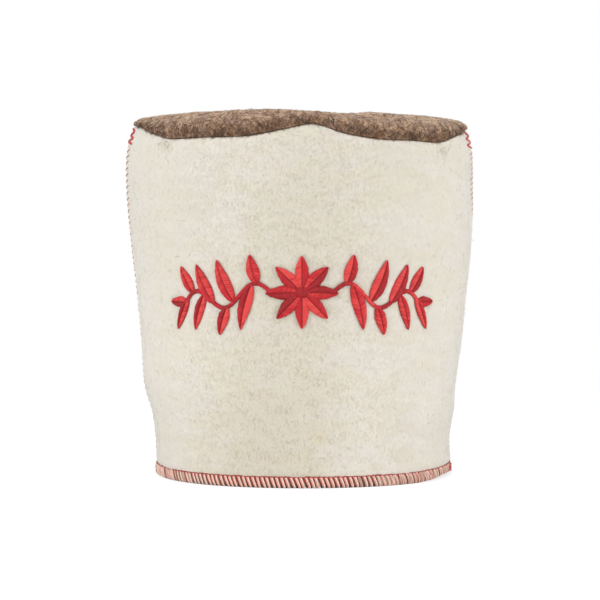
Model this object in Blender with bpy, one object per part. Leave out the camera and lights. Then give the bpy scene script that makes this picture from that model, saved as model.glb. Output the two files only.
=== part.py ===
"""A tall felt hat: two flared wall panels sewn at the sides, a tucked-in pillow crown, a thread-wound hem
and an embroidered spray of leaves on the front. Metres, +Z up, the front faces -Y, the hem at Z = 0."""

import math
from collections import namedtuple

import bmesh
import bpy
from mathutils import Vector

MM = 0.001

# The felt and its seams.
FELT = 3.0 * MM  # thickness of the felt
SEAM_GAP = 0.3 * MM  # what stays between two pieces that are sewn together
ALLOWANCE = 9.0 * MM  # the crown's edge, turned down inside the wall
CORNER_TURN = math.radians(84.0)  # how far a panel turns from its middle to a side seam
FULLNESS = 0.8  # under 1 the panels bulge more towards the side seams than an oval does
DENT_FADE = 4.0  # how soon the dents die out towards the side seams

# The thread wound over the hem.
HEM_THREAD = 0.7 * MM  # thickness of the wound thread
HEM_REACH = 7.0 * MM  # how far up the felt it reaches
HEM_CHAMFER = 0.5 * MM
WALL_FOOT = HEM_THREAD + SEAM_GAP  # height of the felt's own lower edge

# The crown.
CROWN_ROLL = 1.15  # how far in from its seam the crown has turned level, for each mm that it rises
CROWN_SAG = 3.0 * MM  # how far its middle lies under its brow
SAG_REACH = 0.8  # share of the way from the middle to the sides where the sag has died out

# The embroidery, on the front panel.
SPRAY_HEIGHT = 130.0 * MM  # height of the spray's middle over the hem
SPRAY_HALF = 96.0 * MM  # from the middle to one end, along the felt
SPRAY_DROP = 12.0 * MM  # how much lower the ends lie, so that the spray arches
STITCH_LIFT = 1.0 * MM  # how thick the satin stitches stand
SLICE = 9.0 * MM  # the spray's faces are no wider than this, so that they follow the curved felt
WELD = 0.05 * MM  # corners of the spray that lie closer than this become one

# How fine the faceted solids are.
ACROSS = 28  # facets over one panel from seam to seam
UP = 12  # facets over one panel from hem to crown
RING = 2 * ACROSS  # facets once round the hat
LEAF_STEPS = 6  # facets along one leaf
VINE_STEPS = 14  # facets along one vine
SHARP = math.radians(40)  # edges that turn more than this are shaded sharp

FRONT, BACK = -1, 1

# The wall's sections from the hem up: where its side seams lie in X, and its depth before and behind them.
Level = namedtuple("Level", "height left right front back")
LEVELS = [
    Level(0 * MM, -98.3 * MM, 103.6 * MM, 90.0 * MM, 89.0 * MM),
    Level(25 * MM, -98.8 * MM, 103.0 * MM, 91.0 * MM, 90.0 * MM),
    Level(42 * MM, -101.2 * MM, 104.6 * MM, 92.5 * MM, 91.5 * MM),
    Level(60 * MM, -106.6 * MM, 107.0 * MM, 94.0 * MM, 93.0 * MM),
    Level(90 * MM, -108.8 * MM, 111.0 * MM, 96.0 * MM, 95.0 * MM),
    Level(120 * MM, -111.4 * MM, 114.0 * MM, 98.5 * MM, 97.0 * MM),
    Level(160 * MM, -116.2 * MM, 117.6 * MM, 101.0 * MM, 99.5 * MM),
    Level(198 * MM, -118.7 * MM, 118.7 * MM, 101.5 * MM, 101.0 * MM),
    Level(222 * MM, -117.6 * MM, 118.0 * MM, 99.5 * MM, 99.5 * MM),
    Level(240 * MM, -113.2 * MM, 114.2 * MM, 96.5 * MM, 97.0 * MM),
]

# The wall's upper edge: share runs from -1 at the left seam to 1 at the right one.
Edge = namedtuple("Edge", "share height")
FRONT_EDGE = [
    Edge(-1.00, 238.4 * MM),
    Edge(-0.85, 236.6 * MM),
    Edge(-0.68, 232.6 * MM),
    Edge(-0.58, 229.9 * MM),
    Edge(-0.40, 230.7 * MM),
    Edge(-0.20, 232.0 * MM),
    Edge(-0.06, 237.0 * MM),
    Edge(0.04, 239.8 * MM),
    Edge(0.15, 235.2 * MM),
    Edge(0.31, 229.9 * MM),
    Edge(0.46, 228.6 * MM),
    Edge(0.63, 227.8 * MM),
    Edge(0.74, 231.6 * MM),
    Edge(0.84, 234.0 * MM),
    Edge(1.00, 238.0 * MM),
]
BACK_EDGE = [
    Edge(-1.00, 238.4 * MM),
    Edge(-0.72, 232.5 * MM),
    Edge(-0.35, 231.0 * MM),
    Edge(0.00, 236.5 * MM),
    Edge(0.30, 232.0 * MM),
    Edge(0.68, 230.5 * MM),
    Edge(1.00, 238.0 * MM),
]

# The crown's height along X, where share is -1 and 1 at the side seams.
CROWN_BROW = [
    Edge(-1.00, 241.4 * MM),
    Edge(-0.95, 244.2 * MM),
    Edge(-0.80, 246.6 * MM),
    Edge(-0.55, 248.6 * MM),
    Edge(-0.30, 250.0 * MM),
    Edge(-0.08, 249.8 * MM),
    Edge(0.17, 247.8 * MM),
    Edge(0.45, 248.2 * MM),
    Edge(0.66, 246.4 * MM),
    Edge(0.86, 244.8 * MM),
    Edge(0.95, 243.4 * MM),
    Edge(1.00, 240.8 * MM),
]

# The rings that make the crown: a share of the way from its middle to its seam, then this far back in.
Ring = namedtuple("Ring", "share inset")
CROWN_RINGS = [
    Ring(0.14, 0.0 * MM),
    Ring(0.36, 0.0 * MM),
    Ring(0.56, 0.0 * MM),
    Ring(0.72, 0.0 * MM),
    Ring(1.00, 20.0 * MM),
    Ring(1.00, 13.0 * MM),
    Ring(1.00, 8.0 * MM),
    Ring(1.00, 4.5 * MM),
    Ring(1.00, 2.0 * MM),
    Ring(1.00, 0.6 * MM),
    Ring(1.00, 0.0 * MM),
]

# Dents and swells of the wall. Depth is outwards, and spread and rise are how far it reaches across and up.
Dent = namedtuple("Dent", "side share height depth spread rise")
DENTS = [
    Dent(FRONT, 0.06, 240 * MM, 3.5 * MM, 0.11, 34 * MM),
    Dent(FRONT, -0.22, 212 * MM, -1.8 * MM, 0.16, 26 * MM),
    Dent(FRONT, 0.36, 208 * MM, -2.0 * MM, 0.17, 26 * MM),
    Dent(FRONT, -0.78, 222 * MM, -2.2 * MM, 0.10, 14 * MM),
    Dent(FRONT, 0.82, 219 * MM, -2.4 * MM, 0.10, 14 * MM),
    Dent(FRONT, -0.72, 46 * MM, -2.0 * MM, 0.20, 15 * MM),
    Dent(BACK, 0.00, 236 * MM, 3.0 * MM, 0.14, 30 * MM),
    Dent(BACK, -0.50, 206 * MM, -2.2 * MM, 0.20, 24 * MM),
    Dent(BACK, 0.52, 208 * MM, -2.0 * MM, 0.20, 24 * MM),
    Dent(BACK, 0.66, 48 * MM, -2.0 * MM, 0.20, 16 * MM),
]

# The embroidered spray. Lengths are along the felt, from its middle to the right and up from its arch.
Blade = namedtuple("Blade", "along heading bend length width")
PETALS = 8
PETAL = Blade(2.5 * MM, 0.0, 0.0, 21.5 * MM, 9.4 * MM)
HEART_RADIUS = 4.6 * MM
VINE_START = 20.0 * MM
VINE_END = 85.0 * MM
VINE_SWING = 7.0 * MM
VINE_WAVE = 44.0 * MM
VINE_WIDTH = 2.8 * MM
LEAVES = [
    Blade(29.0 * MM, 66.0, 24.0, 20.0 * MM, 8.8 * MM),
    Blade(33.0 * MM, -64.0, -22.0, 31.0 * MM, 9.6 * MM),
    Blade(46.0 * MM, 58.0, 26.0, 31.0 * MM, 9.6 * MM),
    Blade(51.0 * MM, -60.0, -24.0, 19.0 * MM, 8.6 * MM),
    Blade(61.0 * MM, 56.0, 24.0, 30.0 * MM, 9.2 * MM),
    Blade(68.0 * MM, -58.0, -22.0, 24.0 * MM, 8.4 * MM),
    Blade(77.0 * MM, 54.0, 22.0, 21.0 * MM, 7.8 * MM),
    Blade(82.0 * MM, -50.0, -18.0, 22.0 * MM, 7.4 * MM),
    Blade(84.0 * MM, 6.0, 14.0, 15.0 * MM, 6.8 * MM),
]
LEAF_TIP = 0.5 * MM  # width of a leaf where it ends
LEAF_BELLY = 0.8  # under 1 a leaf is widest nearer its foot
LEAF_FULLNESS = 0.75  # under 1 its sides are fuller than a sine wave

CREAM_WOOL = (0.78, 0.72, 0.60)
BROWN_WOOL = (0.20, 0.13, 0.09)
RED_SILK = (0.62, 0.02, 0.03)
HEM_PINK = (0.66, 0.30, 0.24)


def clear_scene():
    for obj in list(bpy.data.objects):
        bpy.data.objects.remove(obj, do_unlink=True)


def eased(rows, column, at, key):
    """The value of a column at a place between the rows, on a smooth curve through them."""
    places = [getattr(row, key) for row in rows]
    values = [getattr(row, column) for row in rows]
    last = len(rows) - 1
    at = min(max(at, places[0]), places[last])
    i = max(k for k in range(last) if places[k] <= at)

    def slope(k):
        before, after = max(k - 1, 0), min(k + 1, last)
        return (values[after] - values[before]) / (places[after] - places[before])

    span = places[i + 1] - places[i]
    t = (at - places[i]) / span
    return (
        values[i] * (1 + 2 * t) * (1 - t) ** 2
        + values[i + 1] * t * t * (3 - 2 * t)
        + span * slope(i) * t * (1 - t) ** 2
        - span * slope(i + 1) * t * t * (1 - t)
    )


def dented(side, share, height):
    """How far the dents push the wall outwards here."""
    moved = 0.0
    for dent in DENTS:
        if dent.side == side:
            across = (share - dent.share) / dent.spread
            up = (height - dent.height) / dent.rise
            moved += dent.depth * math.exp(-across * across - up * up)
    return moved


def wall_point(side, share, height, inset=0.0, clear=0.0):
    """A point of the wall. Inset goes in from the skin, and clear keeps it off the side seams' plane."""
    turn = share * CORNER_TURN
    left = eased(LEVELS, "left", height, "height")
    right = eased(LEVELS, "right", height, "height")
    depth = eased(LEVELS, "front" if side == FRONT else "back", height, "height")
    half = (right - left) / 2 - inset
    bow = max(math.cos(turn) - math.cos(CORNER_TURN), 0.0) / (1 - math.cos(CORNER_TURN))
    bow **= FULLNESS
    across = (left + right) / 2 + half * math.sin(turn) / math.sin(CORNER_TURN)
    out = (depth - inset) * bow + dented(side, share, height) * min(1.0, DENT_FADE * bow)
    return Vector((across, side * max(out, clear), height))


def edge_height(side, share):
    return eased(FRONT_EDGE if side == FRONT else BACK_EDGE, "height", share, "share")


def round_the_hat():
    """(side, share) of each facet corner once round: along the front from the left seam, then the back."""
    front = [(FRONT, -1 + 2 * k / ACROSS) for k in range(ACROSS)]
    back = [(BACK, 1 - 2 * k / ACROSS) for k in range(ACROSS)]
    return front + back


def material(name, colour, roughness):
    made = bpy.data.materials.new(name)
    made.use_nodes = True
    shader = made.node_tree.nodes["Principled BSDF"]
    shader.inputs["Base Color"].default_value = (*colour, 1.0)
    shader.inputs["Roughness"].default_value = roughness
    shader.inputs["Metallic"].default_value = 0.0
    made.diffuse_color = (*colour, 1.0)
    return made


def finish(name, bm, paint, parent):
    """Makes a named object of a closed bmesh, shaded smooth but for its sharp edges."""
    bmesh.ops.recalc_face_normals(bm, faces=bm.faces)
    mesh = bpy.data.meshes.new(name)
    bm.to_mesh(mesh)
    bm.free()
    mesh.shade_smooth()
    mesh.set_sharp_from_angle(angle=SHARP)
    mesh.materials.append(paint)
    obj = bpy.data.objects.new(name, mesh)
    bpy.context.scene.collection.objects.link(obj)
    obj.parent = parent
    return obj


def wall_panel(name, side, paint, parent):
    """One felt panel: a grid laid on the wall's skin, then extruded inwards by the felt's thickness."""
    bm = bmesh.new()
    bmesh.ops.create_grid(bm, x_segments=ACROSS, y_segments=UP, size=1.0)
    skin = {v: (v.co.x, (v.co.y + 1) / 2) for v in bm.verts}
    grown = bmesh.ops.extrude_face_region(bm, geom=bm.faces[:], use_keep_orig=True)
    lining = [v for v in grown["geom"] if isinstance(v, bmesh.types.BMVert)]
    inner = {v: (v.co.x, (v.co.y + 1) / 2) for v in lining}
    for corners, inset in ((skin, 0.0), (inner, FELT)):
        for vert, (share, rise) in corners.items():
            height = WALL_FOOT + rise * (edge_height(side, share) - WALL_FOOT)
            vert.co = wall_point(side, share, height, inset, clear=SEAM_GAP / 2)
    return finish(name, bm, paint, parent)


def ringed(bm, rings, start_closed):
    """Extrudes an edge loop from ring to ring, where each ring is a list of points once round the hat."""
    made = bmesh.ops.create_circle(bm, cap_ends=start_closed, cap_tris=True, radius=1.0, segments=RING)
    first = made["verts"]
    rim = [v for v in first if v.is_boundary] if start_closed else first
    rim.sort(key=lambda v: math.atan2(v.co.y, v.co.x))
    hub = [v for v in first if not v.is_boundary] if start_closed else []
    for vert in hub:
        vert.co = sum(rings[0], Vector()) / RING
    loops = []
    for ring in rings:
        if loops:
            edges = [e for e in {e for v in rim for e in v.link_edges} if all(v in rim for v in e.verts)]
            grown = bmesh.ops.extrude_edge_only(bm, edges=edges)["geom"]
            fresh = [v for v in grown if isinstance(v, bmesh.types.BMVert)]
            follows = {}
            for vert in fresh:
                old = next(e.other_vert(vert) for e in vert.link_edges if e.other_vert(vert) in rim)
                follows[old] = vert
            rim = [follows[v] for v in rim]
        for vert, point in zip(rim, ring):
            vert.co = point
        loops.append(rim)
    return loops


def close_ring(bm, rim):
    """Closes the last ring with a fan of triangles to its middle."""
    edges = [e for e in {e for v in rim for e in v.link_edges} if all(v in rim for v in e.verts)]
    bmesh.ops.contextual_create(bm, geom=edges)
    lid = max(bm.faces, key=lambda f: len(f.verts))
    bmesh.ops.poke(bm, faces=[lid])


def crown_height(seam, point, centre, inset, thickness):
    """Height of the crown, or of its underside, at a point this far in from its seam."""
    half = (LEVELS[-1].right - LEVELS[-1].left) / 2
    brow = eased(CROWN_BROW, "height", (point.x - centre.x) / half, "share")
    reach = 1 - min(point.xy.length / (SAG_REACH * half), 1.0) ** 2
    rise = brow - CROWN_SAG * reach * reach - seam.z
    slack = 1 - min(max(inset - thickness, 0.0) / (CROWN_ROLL * rise - thickness), 1.0)
    return seam.z + (rise - thickness) * math.sqrt(1 - slack * slack)


def crown(name, paint, parent):
    """The crown: a pillow with a rolled rim that overhangs the wall's edge and is turned down inside it."""
    centre = Vector(((LEVELS[-1].left + LEVELS[-1].right) / 2, 0.0, 0.0))
    places = round_the_hat()
    seam = [wall_point(side, share, edge_height(side, share)) for side, share in places]
    outer_face = FELT + SEAM_GAP  # of the turned-down edge, behind the wall's felt
    inner_face = outer_face + FELT

    def dome(ring, thickness, lift):
        points = []
        for s in seam:
            arm = (s - centre).xy.length
            inset = (1 - ring.share) * arm + ring.inset
            point = centre + (s - centre) * (1 - inset / arm)
            point.z = crown_height(s, point, centre, inset, thickness) + lift
            points.append(point)
        return points

    def tuck(inset, drop):
        points = [wall_point(side, share, s.z, inset) for (side, share), s in zip(places, seam)]
        return [point - Vector((0.0, 0.0, drop)) for point in points]

    skin = [dome(ring, 0.0, SEAM_GAP) for ring in CROWN_RINGS]
    edge = [tuck(outer_face, -SEAM_GAP), tuck(outer_face, ALLOWANCE), tuck(inner_face, ALLOWANCE)]
    inside = [ring for ring in reversed(CROWN_RINGS) if ring.share < 1 or ring.inset > inner_face]
    under = [dome(ring, FELT, 0.0) for ring in [Ring(1.0, inner_face), *inside]]
    bm = bmesh.new()
    loops = ringed(bm, skin + edge + under, start_closed=True)
    close_ring(bm, loops[-1])
    return finish(name, bm, paint, parent)


def hem_thread(name, paint, parent):
    """The wound thread: a channel that closes round the felt's lower edge, all the way round."""
    out = SEAM_GAP + HEM_THREAD
    profile = [
        (-out, HEM_REACH),
        (-out, HEM_CHAMFER),
        (-out + HEM_CHAMFER, 0.0),
        (FELT + out - HEM_CHAMFER, 0.0),
        (FELT + out, HEM_CHAMFER),
        (FELT + out, HEM_REACH),
        (FELT + SEAM_GAP, HEM_REACH),
        (FELT + SEAM_GAP, HEM_THREAD),
        (-SEAM_GAP, HEM_THREAD),
        (-SEAM_GAP, HEM_REACH),
    ]
    rings = [
        [wall_point(side, share, height, inset) for side, share in round_the_hat()]
        for inset, height in profile
    ]
    bm = bmesh.new()
    ringed(bm, rings, start_closed=False)
    bmesh.ops.bridge_loops(bm, edges=[e for e in bm.edges if e.is_boundary])
    return finish(name, bm, paint, parent)


def on_front(along, up, proud):
    """A point of the front panel, from lengths along the felt and up from the spray's arched middle line."""
    height = SPRAY_HEIGHT + up - SPRAY_DROP * (along / SPRAY_HALF) ** 2
    left = eased(LEVELS, "left", SPRAY_HEIGHT, "height")
    right = eased(LEVELS, "right", SPRAY_HEIGHT, "height")
    turn = along * math.sin(CORNER_TURN) * 2 / (right - left)
    return wall_point(FRONT, turn / CORNER_TURN, height, -proud)


def vine_place(along):
    """The vine's middle, which swings about the spray's middle line."""
    return Vector((along, VINE_SWING * math.sin(2 * math.pi * (along - VINE_START) / VINE_WAVE)))


def blade_line(blade, place, mirror):
    """(place, sideways, half width) along a leaf or petal, which turns by its bend from foot to tip."""
    line = []
    for k in range(LEAF_STEPS + 1):
        t = k / LEAF_STEPS
        heading = math.radians(blade.heading + blade.bend * t)
        forward = Vector((math.cos(heading), math.sin(heading)))
        full = math.sin(math.pi * t**LEAF_BELLY) ** LEAF_FULLNESS if 0 < t < 1 else 0.0
        half = max(blade.width * full, LEAF_TIP) / 2
        line.append((place, Vector((-forward.y, forward.x)), half))
        place = place + forward * blade.length / LEAF_STEPS
    return [(Vector((mirror * p.x, p.y)), Vector((mirror * s.x, s.y)), half) for p, s, half in line]


def vine_line(mirror):
    """(place, sideways, half width) along a vine."""
    line = []
    for k in range(VINE_STEPS + 1):
        along = VINE_START + (VINE_END - VINE_START) * k / VINE_STEPS
        place = vine_place(along)
        forward = (vine_place(along + VINE_WIDTH) - place).normalized()
        sideways = Vector((-mirror * forward.y, forward.x))
        line.append((Vector((mirror * place.x, place.y)), sideways, VINE_WIDTH / 2))
    return line


def flat_strip(line):
    """A flat closed strip along a line, as thick as the stitches, to be joined and bent later."""
    bm = bmesh.new()
    bmesh.ops.create_grid(bm, x_segments=len(line) - 1, y_segments=1, size=1.0)
    for vert in bm.verts:
        place, sideways, half = line[round((vert.co.x + 1) / 2 * (len(line) - 1))]
        vert.co = (place + sideways * half * vert.co.y).to_3d()
    thicken(bm)
    return bm


def flat_heart():
    bm = bmesh.new()
    bmesh.ops.create_circle(bm, cap_ends=True, radius=HEART_RADIUS, segments=2 * PETALS)
    thicken(bm)
    return bm


def thicken(bm):
    grown = bmesh.ops.extrude_face_region(bm, geom=bm.faces[:], use_keep_orig=True)
    verts = [v for v in grown["geom"] if isinstance(v, bmesh.types.BMVert)]
    bmesh.ops.translate(bm, verts=verts, vec=(0.0, 0.0, STITCH_LIFT))
    bmesh.ops.recalc_face_normals(bm, faces=bm.faces)


def flat_pieces():
    """The spray's flat pieces: the heart and its petals, then a vine with its leaves on either side."""
    pieces = [flat_heart()]
    for k in range(PETALS):
        petal = PETAL._replace(heading=360 / PETALS * k)
        heading = math.radians(petal.heading)
        foot = Vector((math.cos(heading), math.sin(heading))) * PETAL.along
        pieces.append(flat_strip(blade_line(petal, foot, 1)))
    for mirror in (-1, 1):
        pieces.append(flat_strip(vine_line(mirror)))
        pieces += [flat_strip(blade_line(leaf, vine_place(leaf.along), mirror)) for leaf in LEAVES]
    return pieces


def joined(pieces):
    """The flat pieces united into one body, as a bmesh."""
    operands = bpy.data.collections.new("spray_pieces")
    bpy.context.scene.collection.children.link(operands)
    first = None
    for number, bm in enumerate(pieces):
        mesh = bpy.data.meshes.new(f"spray_piece_{number}")
        bm.to_mesh(mesh)
        bm.free()
        obj = bpy.data.objects.new(mesh.name, mesh)
        if first is None:
            first = obj
            bpy.context.scene.collection.objects.link(obj)
        else:
            operands.objects.link(obj)
    unite = first.modifiers.new("unite", "BOOLEAN")
    unite.operation = "UNION"
    unite.operand_type = "COLLECTION"
    unite.collection = operands
    evaluated = first.evaluated_get(bpy.context.evaluated_depsgraph_get())
    bm = bmesh.new()
    bm.from_mesh(evaluated.to_mesh())
    evaluated.to_mesh_clear()
    for obj in [first, *operands.objects]:
        bpy.data.objects.remove(obj, do_unlink=True)
    bpy.data.collections.remove(operands)
    return bm


def embroidery(name, paint, parent):
    """The raised satin stitches as one body: joined flat, sliced into narrow faces, bent on to the felt."""
    bm = joined(flat_pieces())
    reach = VINE_END + max(leaf.length for leaf in LEAVES)
    cuts = int(reach / SLICE)
    for k in range(-cuts, cuts + 1):
        everything = bm.verts[:] + bm.edges[:] + bm.faces[:]
        place = ((k + 1 / 3) * SLICE, 0.0, 0.0)  # off the middle, where petals have their corners
        bmesh.ops.bisect_plane(bm, geom=everything, plane_co=place, plane_no=(1.0, 0.0, 0.0))
    bmesh.ops.remove_doubles(bm, verts=bm.verts, dist=WELD)
    for vert in bm.verts:
        vert.co = on_front(vert.co.x, vert.co.y, SEAM_GAP + vert.co.z)
    return finish(name, bm, paint, parent)


def main():
    clear_scene()
    hat = bpy.data.objects.new("hat", None)
    bpy.context.scene.collection.objects.link(hat)
    cream = material("cream_wool", CREAM_WOOL, 0.95)
    brown = material("brown_wool", BROWN_WOOL, 0.95)
    wall_panel("front_panel", FRONT, cream, hat)
    wall_panel("back_panel", BACK, cream, hat)
    crown("crown", brown, hat)
    hem_thread("hem_thread", material("hem_thread", HEM_PINK, 0.7), hat)
    embroidery("embroidery", material("red_silk", RED_SILK, 0.45), hat)


main()
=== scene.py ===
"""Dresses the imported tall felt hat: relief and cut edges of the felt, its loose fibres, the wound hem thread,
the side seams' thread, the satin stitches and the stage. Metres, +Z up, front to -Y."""

import math
from collections import namedtuple

import bmesh
import bpy
import numpy as np
from bpy.props import FloatProperty, FloatVectorProperty, IntProperty, PointerProperty
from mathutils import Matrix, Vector, noise


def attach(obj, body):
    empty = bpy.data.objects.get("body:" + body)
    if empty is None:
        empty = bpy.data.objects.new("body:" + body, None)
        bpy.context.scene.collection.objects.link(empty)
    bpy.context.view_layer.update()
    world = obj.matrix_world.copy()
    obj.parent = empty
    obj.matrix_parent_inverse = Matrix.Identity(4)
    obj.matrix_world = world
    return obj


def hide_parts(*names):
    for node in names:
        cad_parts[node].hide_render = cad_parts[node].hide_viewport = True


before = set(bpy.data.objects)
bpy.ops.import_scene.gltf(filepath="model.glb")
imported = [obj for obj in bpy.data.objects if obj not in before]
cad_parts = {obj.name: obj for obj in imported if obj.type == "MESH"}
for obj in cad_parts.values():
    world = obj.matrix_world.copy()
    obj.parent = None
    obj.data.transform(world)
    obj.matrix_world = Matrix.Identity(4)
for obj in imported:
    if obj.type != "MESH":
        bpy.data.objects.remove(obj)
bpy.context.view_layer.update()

bl_info = {
    "name": "Felt hat dressing",
    "version": (1, 0, 0),
    "blender": (4, 5, 0),
    "location": "3D View > Sidebar > Felt Hat",
    "description": "Felt relief, loose fibres, seam threads and satin stitches for a tall felt hat",
    "category": "Mesh",
}

MM = 0.001
FRONT, BACK = -1, 1


def rows_of(kind, rows, plain=()):
    """A table's rows. Its columns are given in mm, apart from the plain ones."""
    return [
        kind(*(value if field in plain else value * MM for field, value in zip(kind._fields, row)))
        for row in rows
    ]


# The felt and its seams.
FELT = 3.0 * MM
SEAM_GAP = 0.3 * MM
ALLOWANCE = 9.0 * MM
CORNER_TURN = math.radians(84.0)
FULLNESS = 0.8
DENT_FADE = 4.0
WALL_FOOT = 1.0 * MM
RIPPLE_SIZE = 7.0 * MM  # from one ripple of the felt to the next, up the wall
RIPPLE_STRETCH = 3.6  # how much longer than high the ripples are
RIPPLE_DROP = 13.0 * MM  # how far a ripple bends down from the middle of the wall to its sides
PINCH_REACH = 14.0 * MM  # the wall is drawn in most at this distance from a side seam
PINCH_WIDTH = 0.9  # how wide the drawn-in part is, as a share of its distance from the seam
CUT_ROUND = 1.2 * MM  # how far a cut edge of the felt is rounded by its stitches
LINING_ACROSS, LINING_UP = 64, 44  # faces over the inside of a panel
LINING_EDGE = 0.6 * MM  # how far the inside stays clear of the cut edges
PANEL_LEVEL, PANEL_RISE = 120 * MM, 234 * MM  # where a panel's width is measured, and its height
PANEL_SWELLS, PANEL_GRAIN = 26 * MM, 3.4 * MM  # the sizes of a panel's broad and fine lumps
CUT_STEPS = 5  # corners round a cut edge
GIRTH_STEPS = 1600
BACK_COARSER = 1.3  # how much coarser the back's mesh is than the front's
# How deep and how wide thread pulls the felt in: at the side seams, under the crown, over the hem, by satin.
SIDE_PULL, TOP_PULL, HEM_PULL = (0.2 * MM, 1.6 * MM), (0.5 * MM, 2.5 * MM), (0.35 * MM, 0.9 * MM)
SATIN_PULL, SATIN_REACH = 0.5 * MM, 1.5 * MM
HEM_SWELL = 0.45 * MM, 2.4 * MM  # how far and how wide the felt swells out again over that

# The crown.
CROWN_ROLL = 1.15
CROWN_SAG = 3.0 * MM
SAG_REACH = 0.8
CROWN_COLUMNS = 320
CROWN_SWELLS, CROWN_LUMPS, CROWN_TUFTS = 19 * MM, 7.5 * MM, 3.6 * MM  # the sizes of the crown's lumps
TOP_ROWS, TOP_SHARE = 42, 0.77  # rows of the crown's flat top, and how far out they reach
RIM_ROWS, RIM_WIDTH = 26, 20 * MM  # rows of its rolled rim, and how far in from the seam they start
CORNER_ROWS = 5  # rows of the rounded corner at its seam
# Rows of its underside, by how far in from the wall's face and then by the share of the way out.
UNDER_INSETS, UNDER_SHARES = (7.5 * MM, 9.5 * MM, 13 * MM, 20 * MM), (0.72, 0.56, 0.36, 0.18, 0.0)
CREVICE = 0.9 * MM  # how far behind the wall's face the crown comes out of its seam
CREVICE_RISE = 4.5 * MM
CREVICE_ROW = 55  # the row of the crown's mesh whose rise tells how full its rim is there
SHADE_RISE = 8.0 * MM  # how far over its seam the crown's wool gets painted shade, where its rolled rim faces down

# The wound hem thread.
HEM_LEVEL = 3.5 * MM  # the height at which lengths along the hem are measured
HEM_REACH = 7.0 * MM
CHAIN_LEVEL, CHAIN_HEIGHT, CHAIN_SAG = 7.6 * MM, 7.75 * MM, 0.55 * MM  # of the thread along the bars' tops
CHAIN_WIDTH, CHAIN_LIFT = 1.3 * MM, 0.8 * MM
HEM_PITCH = 3.24 * MM  # from one bar to the next along the hem
HEM_LEAN = 2.3 * MM  # how far a bar's foot lies to the right of its top
SEAM_CLOSE = 16.0 * MM  # how far from a side seam the hem is wound tighter

# The zigzag of the side seams.
TACK_HEIGHT = 12.5 * MM  # how far down from the crown the thick stitches that end a seam reach
TACK_PITCH, TACK_REACH, TACK_SUNK, TACK_TINTS = 2.2 * MM, 4.2 * MM, -0.15 * MM, (1.0, 5.0)
KNOT_PITCH, KNOT_REACH, KNOT_THREAD = 1.4 * MM, 5.6 * MM, 1.35 * MM
KNOT_FOOT, KNOT_TOP = 1.2 * MM, 8.0 * MM
SEAM_FOOT, SEAM_SUNK = 9.0 * MM, 0.02 * MM

# How far towards the front the middle of each side seam's thread lies, from the hem up.
SeamShift = namedtuple("SeamShift", "height left right")
SEAM_SHIFTS = rows_of(SeamShift, [
    (8, -2.5, -1.2), (18, -2.6, -1.6), (30, -2.7, -3.5), (98, -2.5, -3.5), (138, -1.5, -3.5),
    (168, 0.3, -3.5), (174, 0.8, -3.5), (188, 2.0, 0.8), (194, 2.3, 1.5), (218, 2.6, 1.8),
    (224, 3.4, 3.4), (236, 6.0, 6.0),
])
KNOT_SHIFTS = rows_of(SeamShift, [(1, 8.0, 16.5), (10, 6.0, 14.5)])

# Each side seam's thread: its zigzag, the width of the thick stitches over it, and the knot under it.
SeamThread = namedtuple("SeamThread", "seam label pitch reach width tints tack_width knot_tints knot_proud")
SEAM_THREADS = rows_of(SeamThread, [
    (0.0, "left", 2.05, 3.0, 0.76, (0.0, 3.0), 1.6, (3.0, 4.0), 0.7),
    (2.0, "right", 1.7, 3.2, 0.65, (4.0, 2.0), 1.15, (1.0, 1.0, 5.0), 1.35),
], plain=("seam", "label", "tints", "knot_tints"))

# The embroidery.
SPRAY_HEIGHT, SPRAY_HALF, SPRAY_DROP = 130.0 * MM, 96.0 * MM, 12.0 * MM
STITCH_PITCH, STITCH_WIDTH, STITCH_LIFT = 0.45 * MM, 0.50 * MM, 1.15 * MM

# How far the wall reaches to each side of the hat's middle, from the hem up.
Level = namedtuple("Level", "height left right front back")
LEVELS = rows_of(Level, [
    (0, -97.8, 103.6, 90.0, 89.0),
    (25, -99.2, 103.4, 91.0, 90.0),
    (42, -101.6, 106.3, 92.5, 91.5),
    (60, -106.6, 107.4, 94.0, 93.0),
    (90, -108.7, 111.6, 96.0, 95.0),
    (120, -111.2, 114.6, 98.5, 97.0),
    (160, -115.6, 118.4, 101.0, 99.5),
    (198, -118.7, 118.7, 101.5, 101.0),
    (222, -118.1, 118.0, 99.5, 99.5),
    (240, -112.8, 113.7, 96.5, 97.0),
])
CROWN_HALF = (LEVELS[-1].right - LEVELS[-1].left) / 2
CROWN_CENTRE = np.array(((LEVELS[-1].left + LEVELS[-1].right) / 2, 0.0, 0.0))

Edge = namedtuple("Edge", "share height")


def edge_rows(*rows):
    """Heights over the shares of the way across the hat, from -1 at its left to 1 at its right."""
    return rows_of(Edge, rows, plain=("share",))


FRONT_EDGE = edge_rows(
    (-1.00, 237.6), (-0.85, 237.1), (-0.68, 232.6), (-0.58, 229.7), (-0.40, 230.8), (-0.20, 232.0),
    (-0.06, 236.4), (0.04, 239.6), (0.085, 238.6), (0.17, 233.7), (0.31, 229.8), (0.46, 228.7),
    (0.63, 227.2), (0.74, 230.3), (0.84, 232.7), (1.00, 234.8),
)
BACK_EDGE = edge_rows(
    (-1.00, 237.6), (-0.72, 232.9), (-0.35, 231.4), (0.00, 236.9), (0.30, 232.4), (0.68, 230.4),
    (1.00, 234.8),
)
CROWN_BROW = edge_rows(
    (-1.00, 240.0), (-0.95, 241.7), (-0.80, 244.6), (-0.55, 247.0), (-0.30, 248.6), (-0.08, 248.9),
    (0.17, 246.7), (0.28, 246.1), (0.45, 246.6), (0.66, 244.6), (0.86, 242.2), (0.95, 240.2),
    (1.00, 237.8),
)
# How far the foot of the hem curls up.
CURLS = edge_rows((0.60, 0.0), (0.70, 0.9), (0.80, 2.5), (0.90, 2.6), (1.00, 1.4))
CURL_FADE = 5.0 * MM

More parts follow.
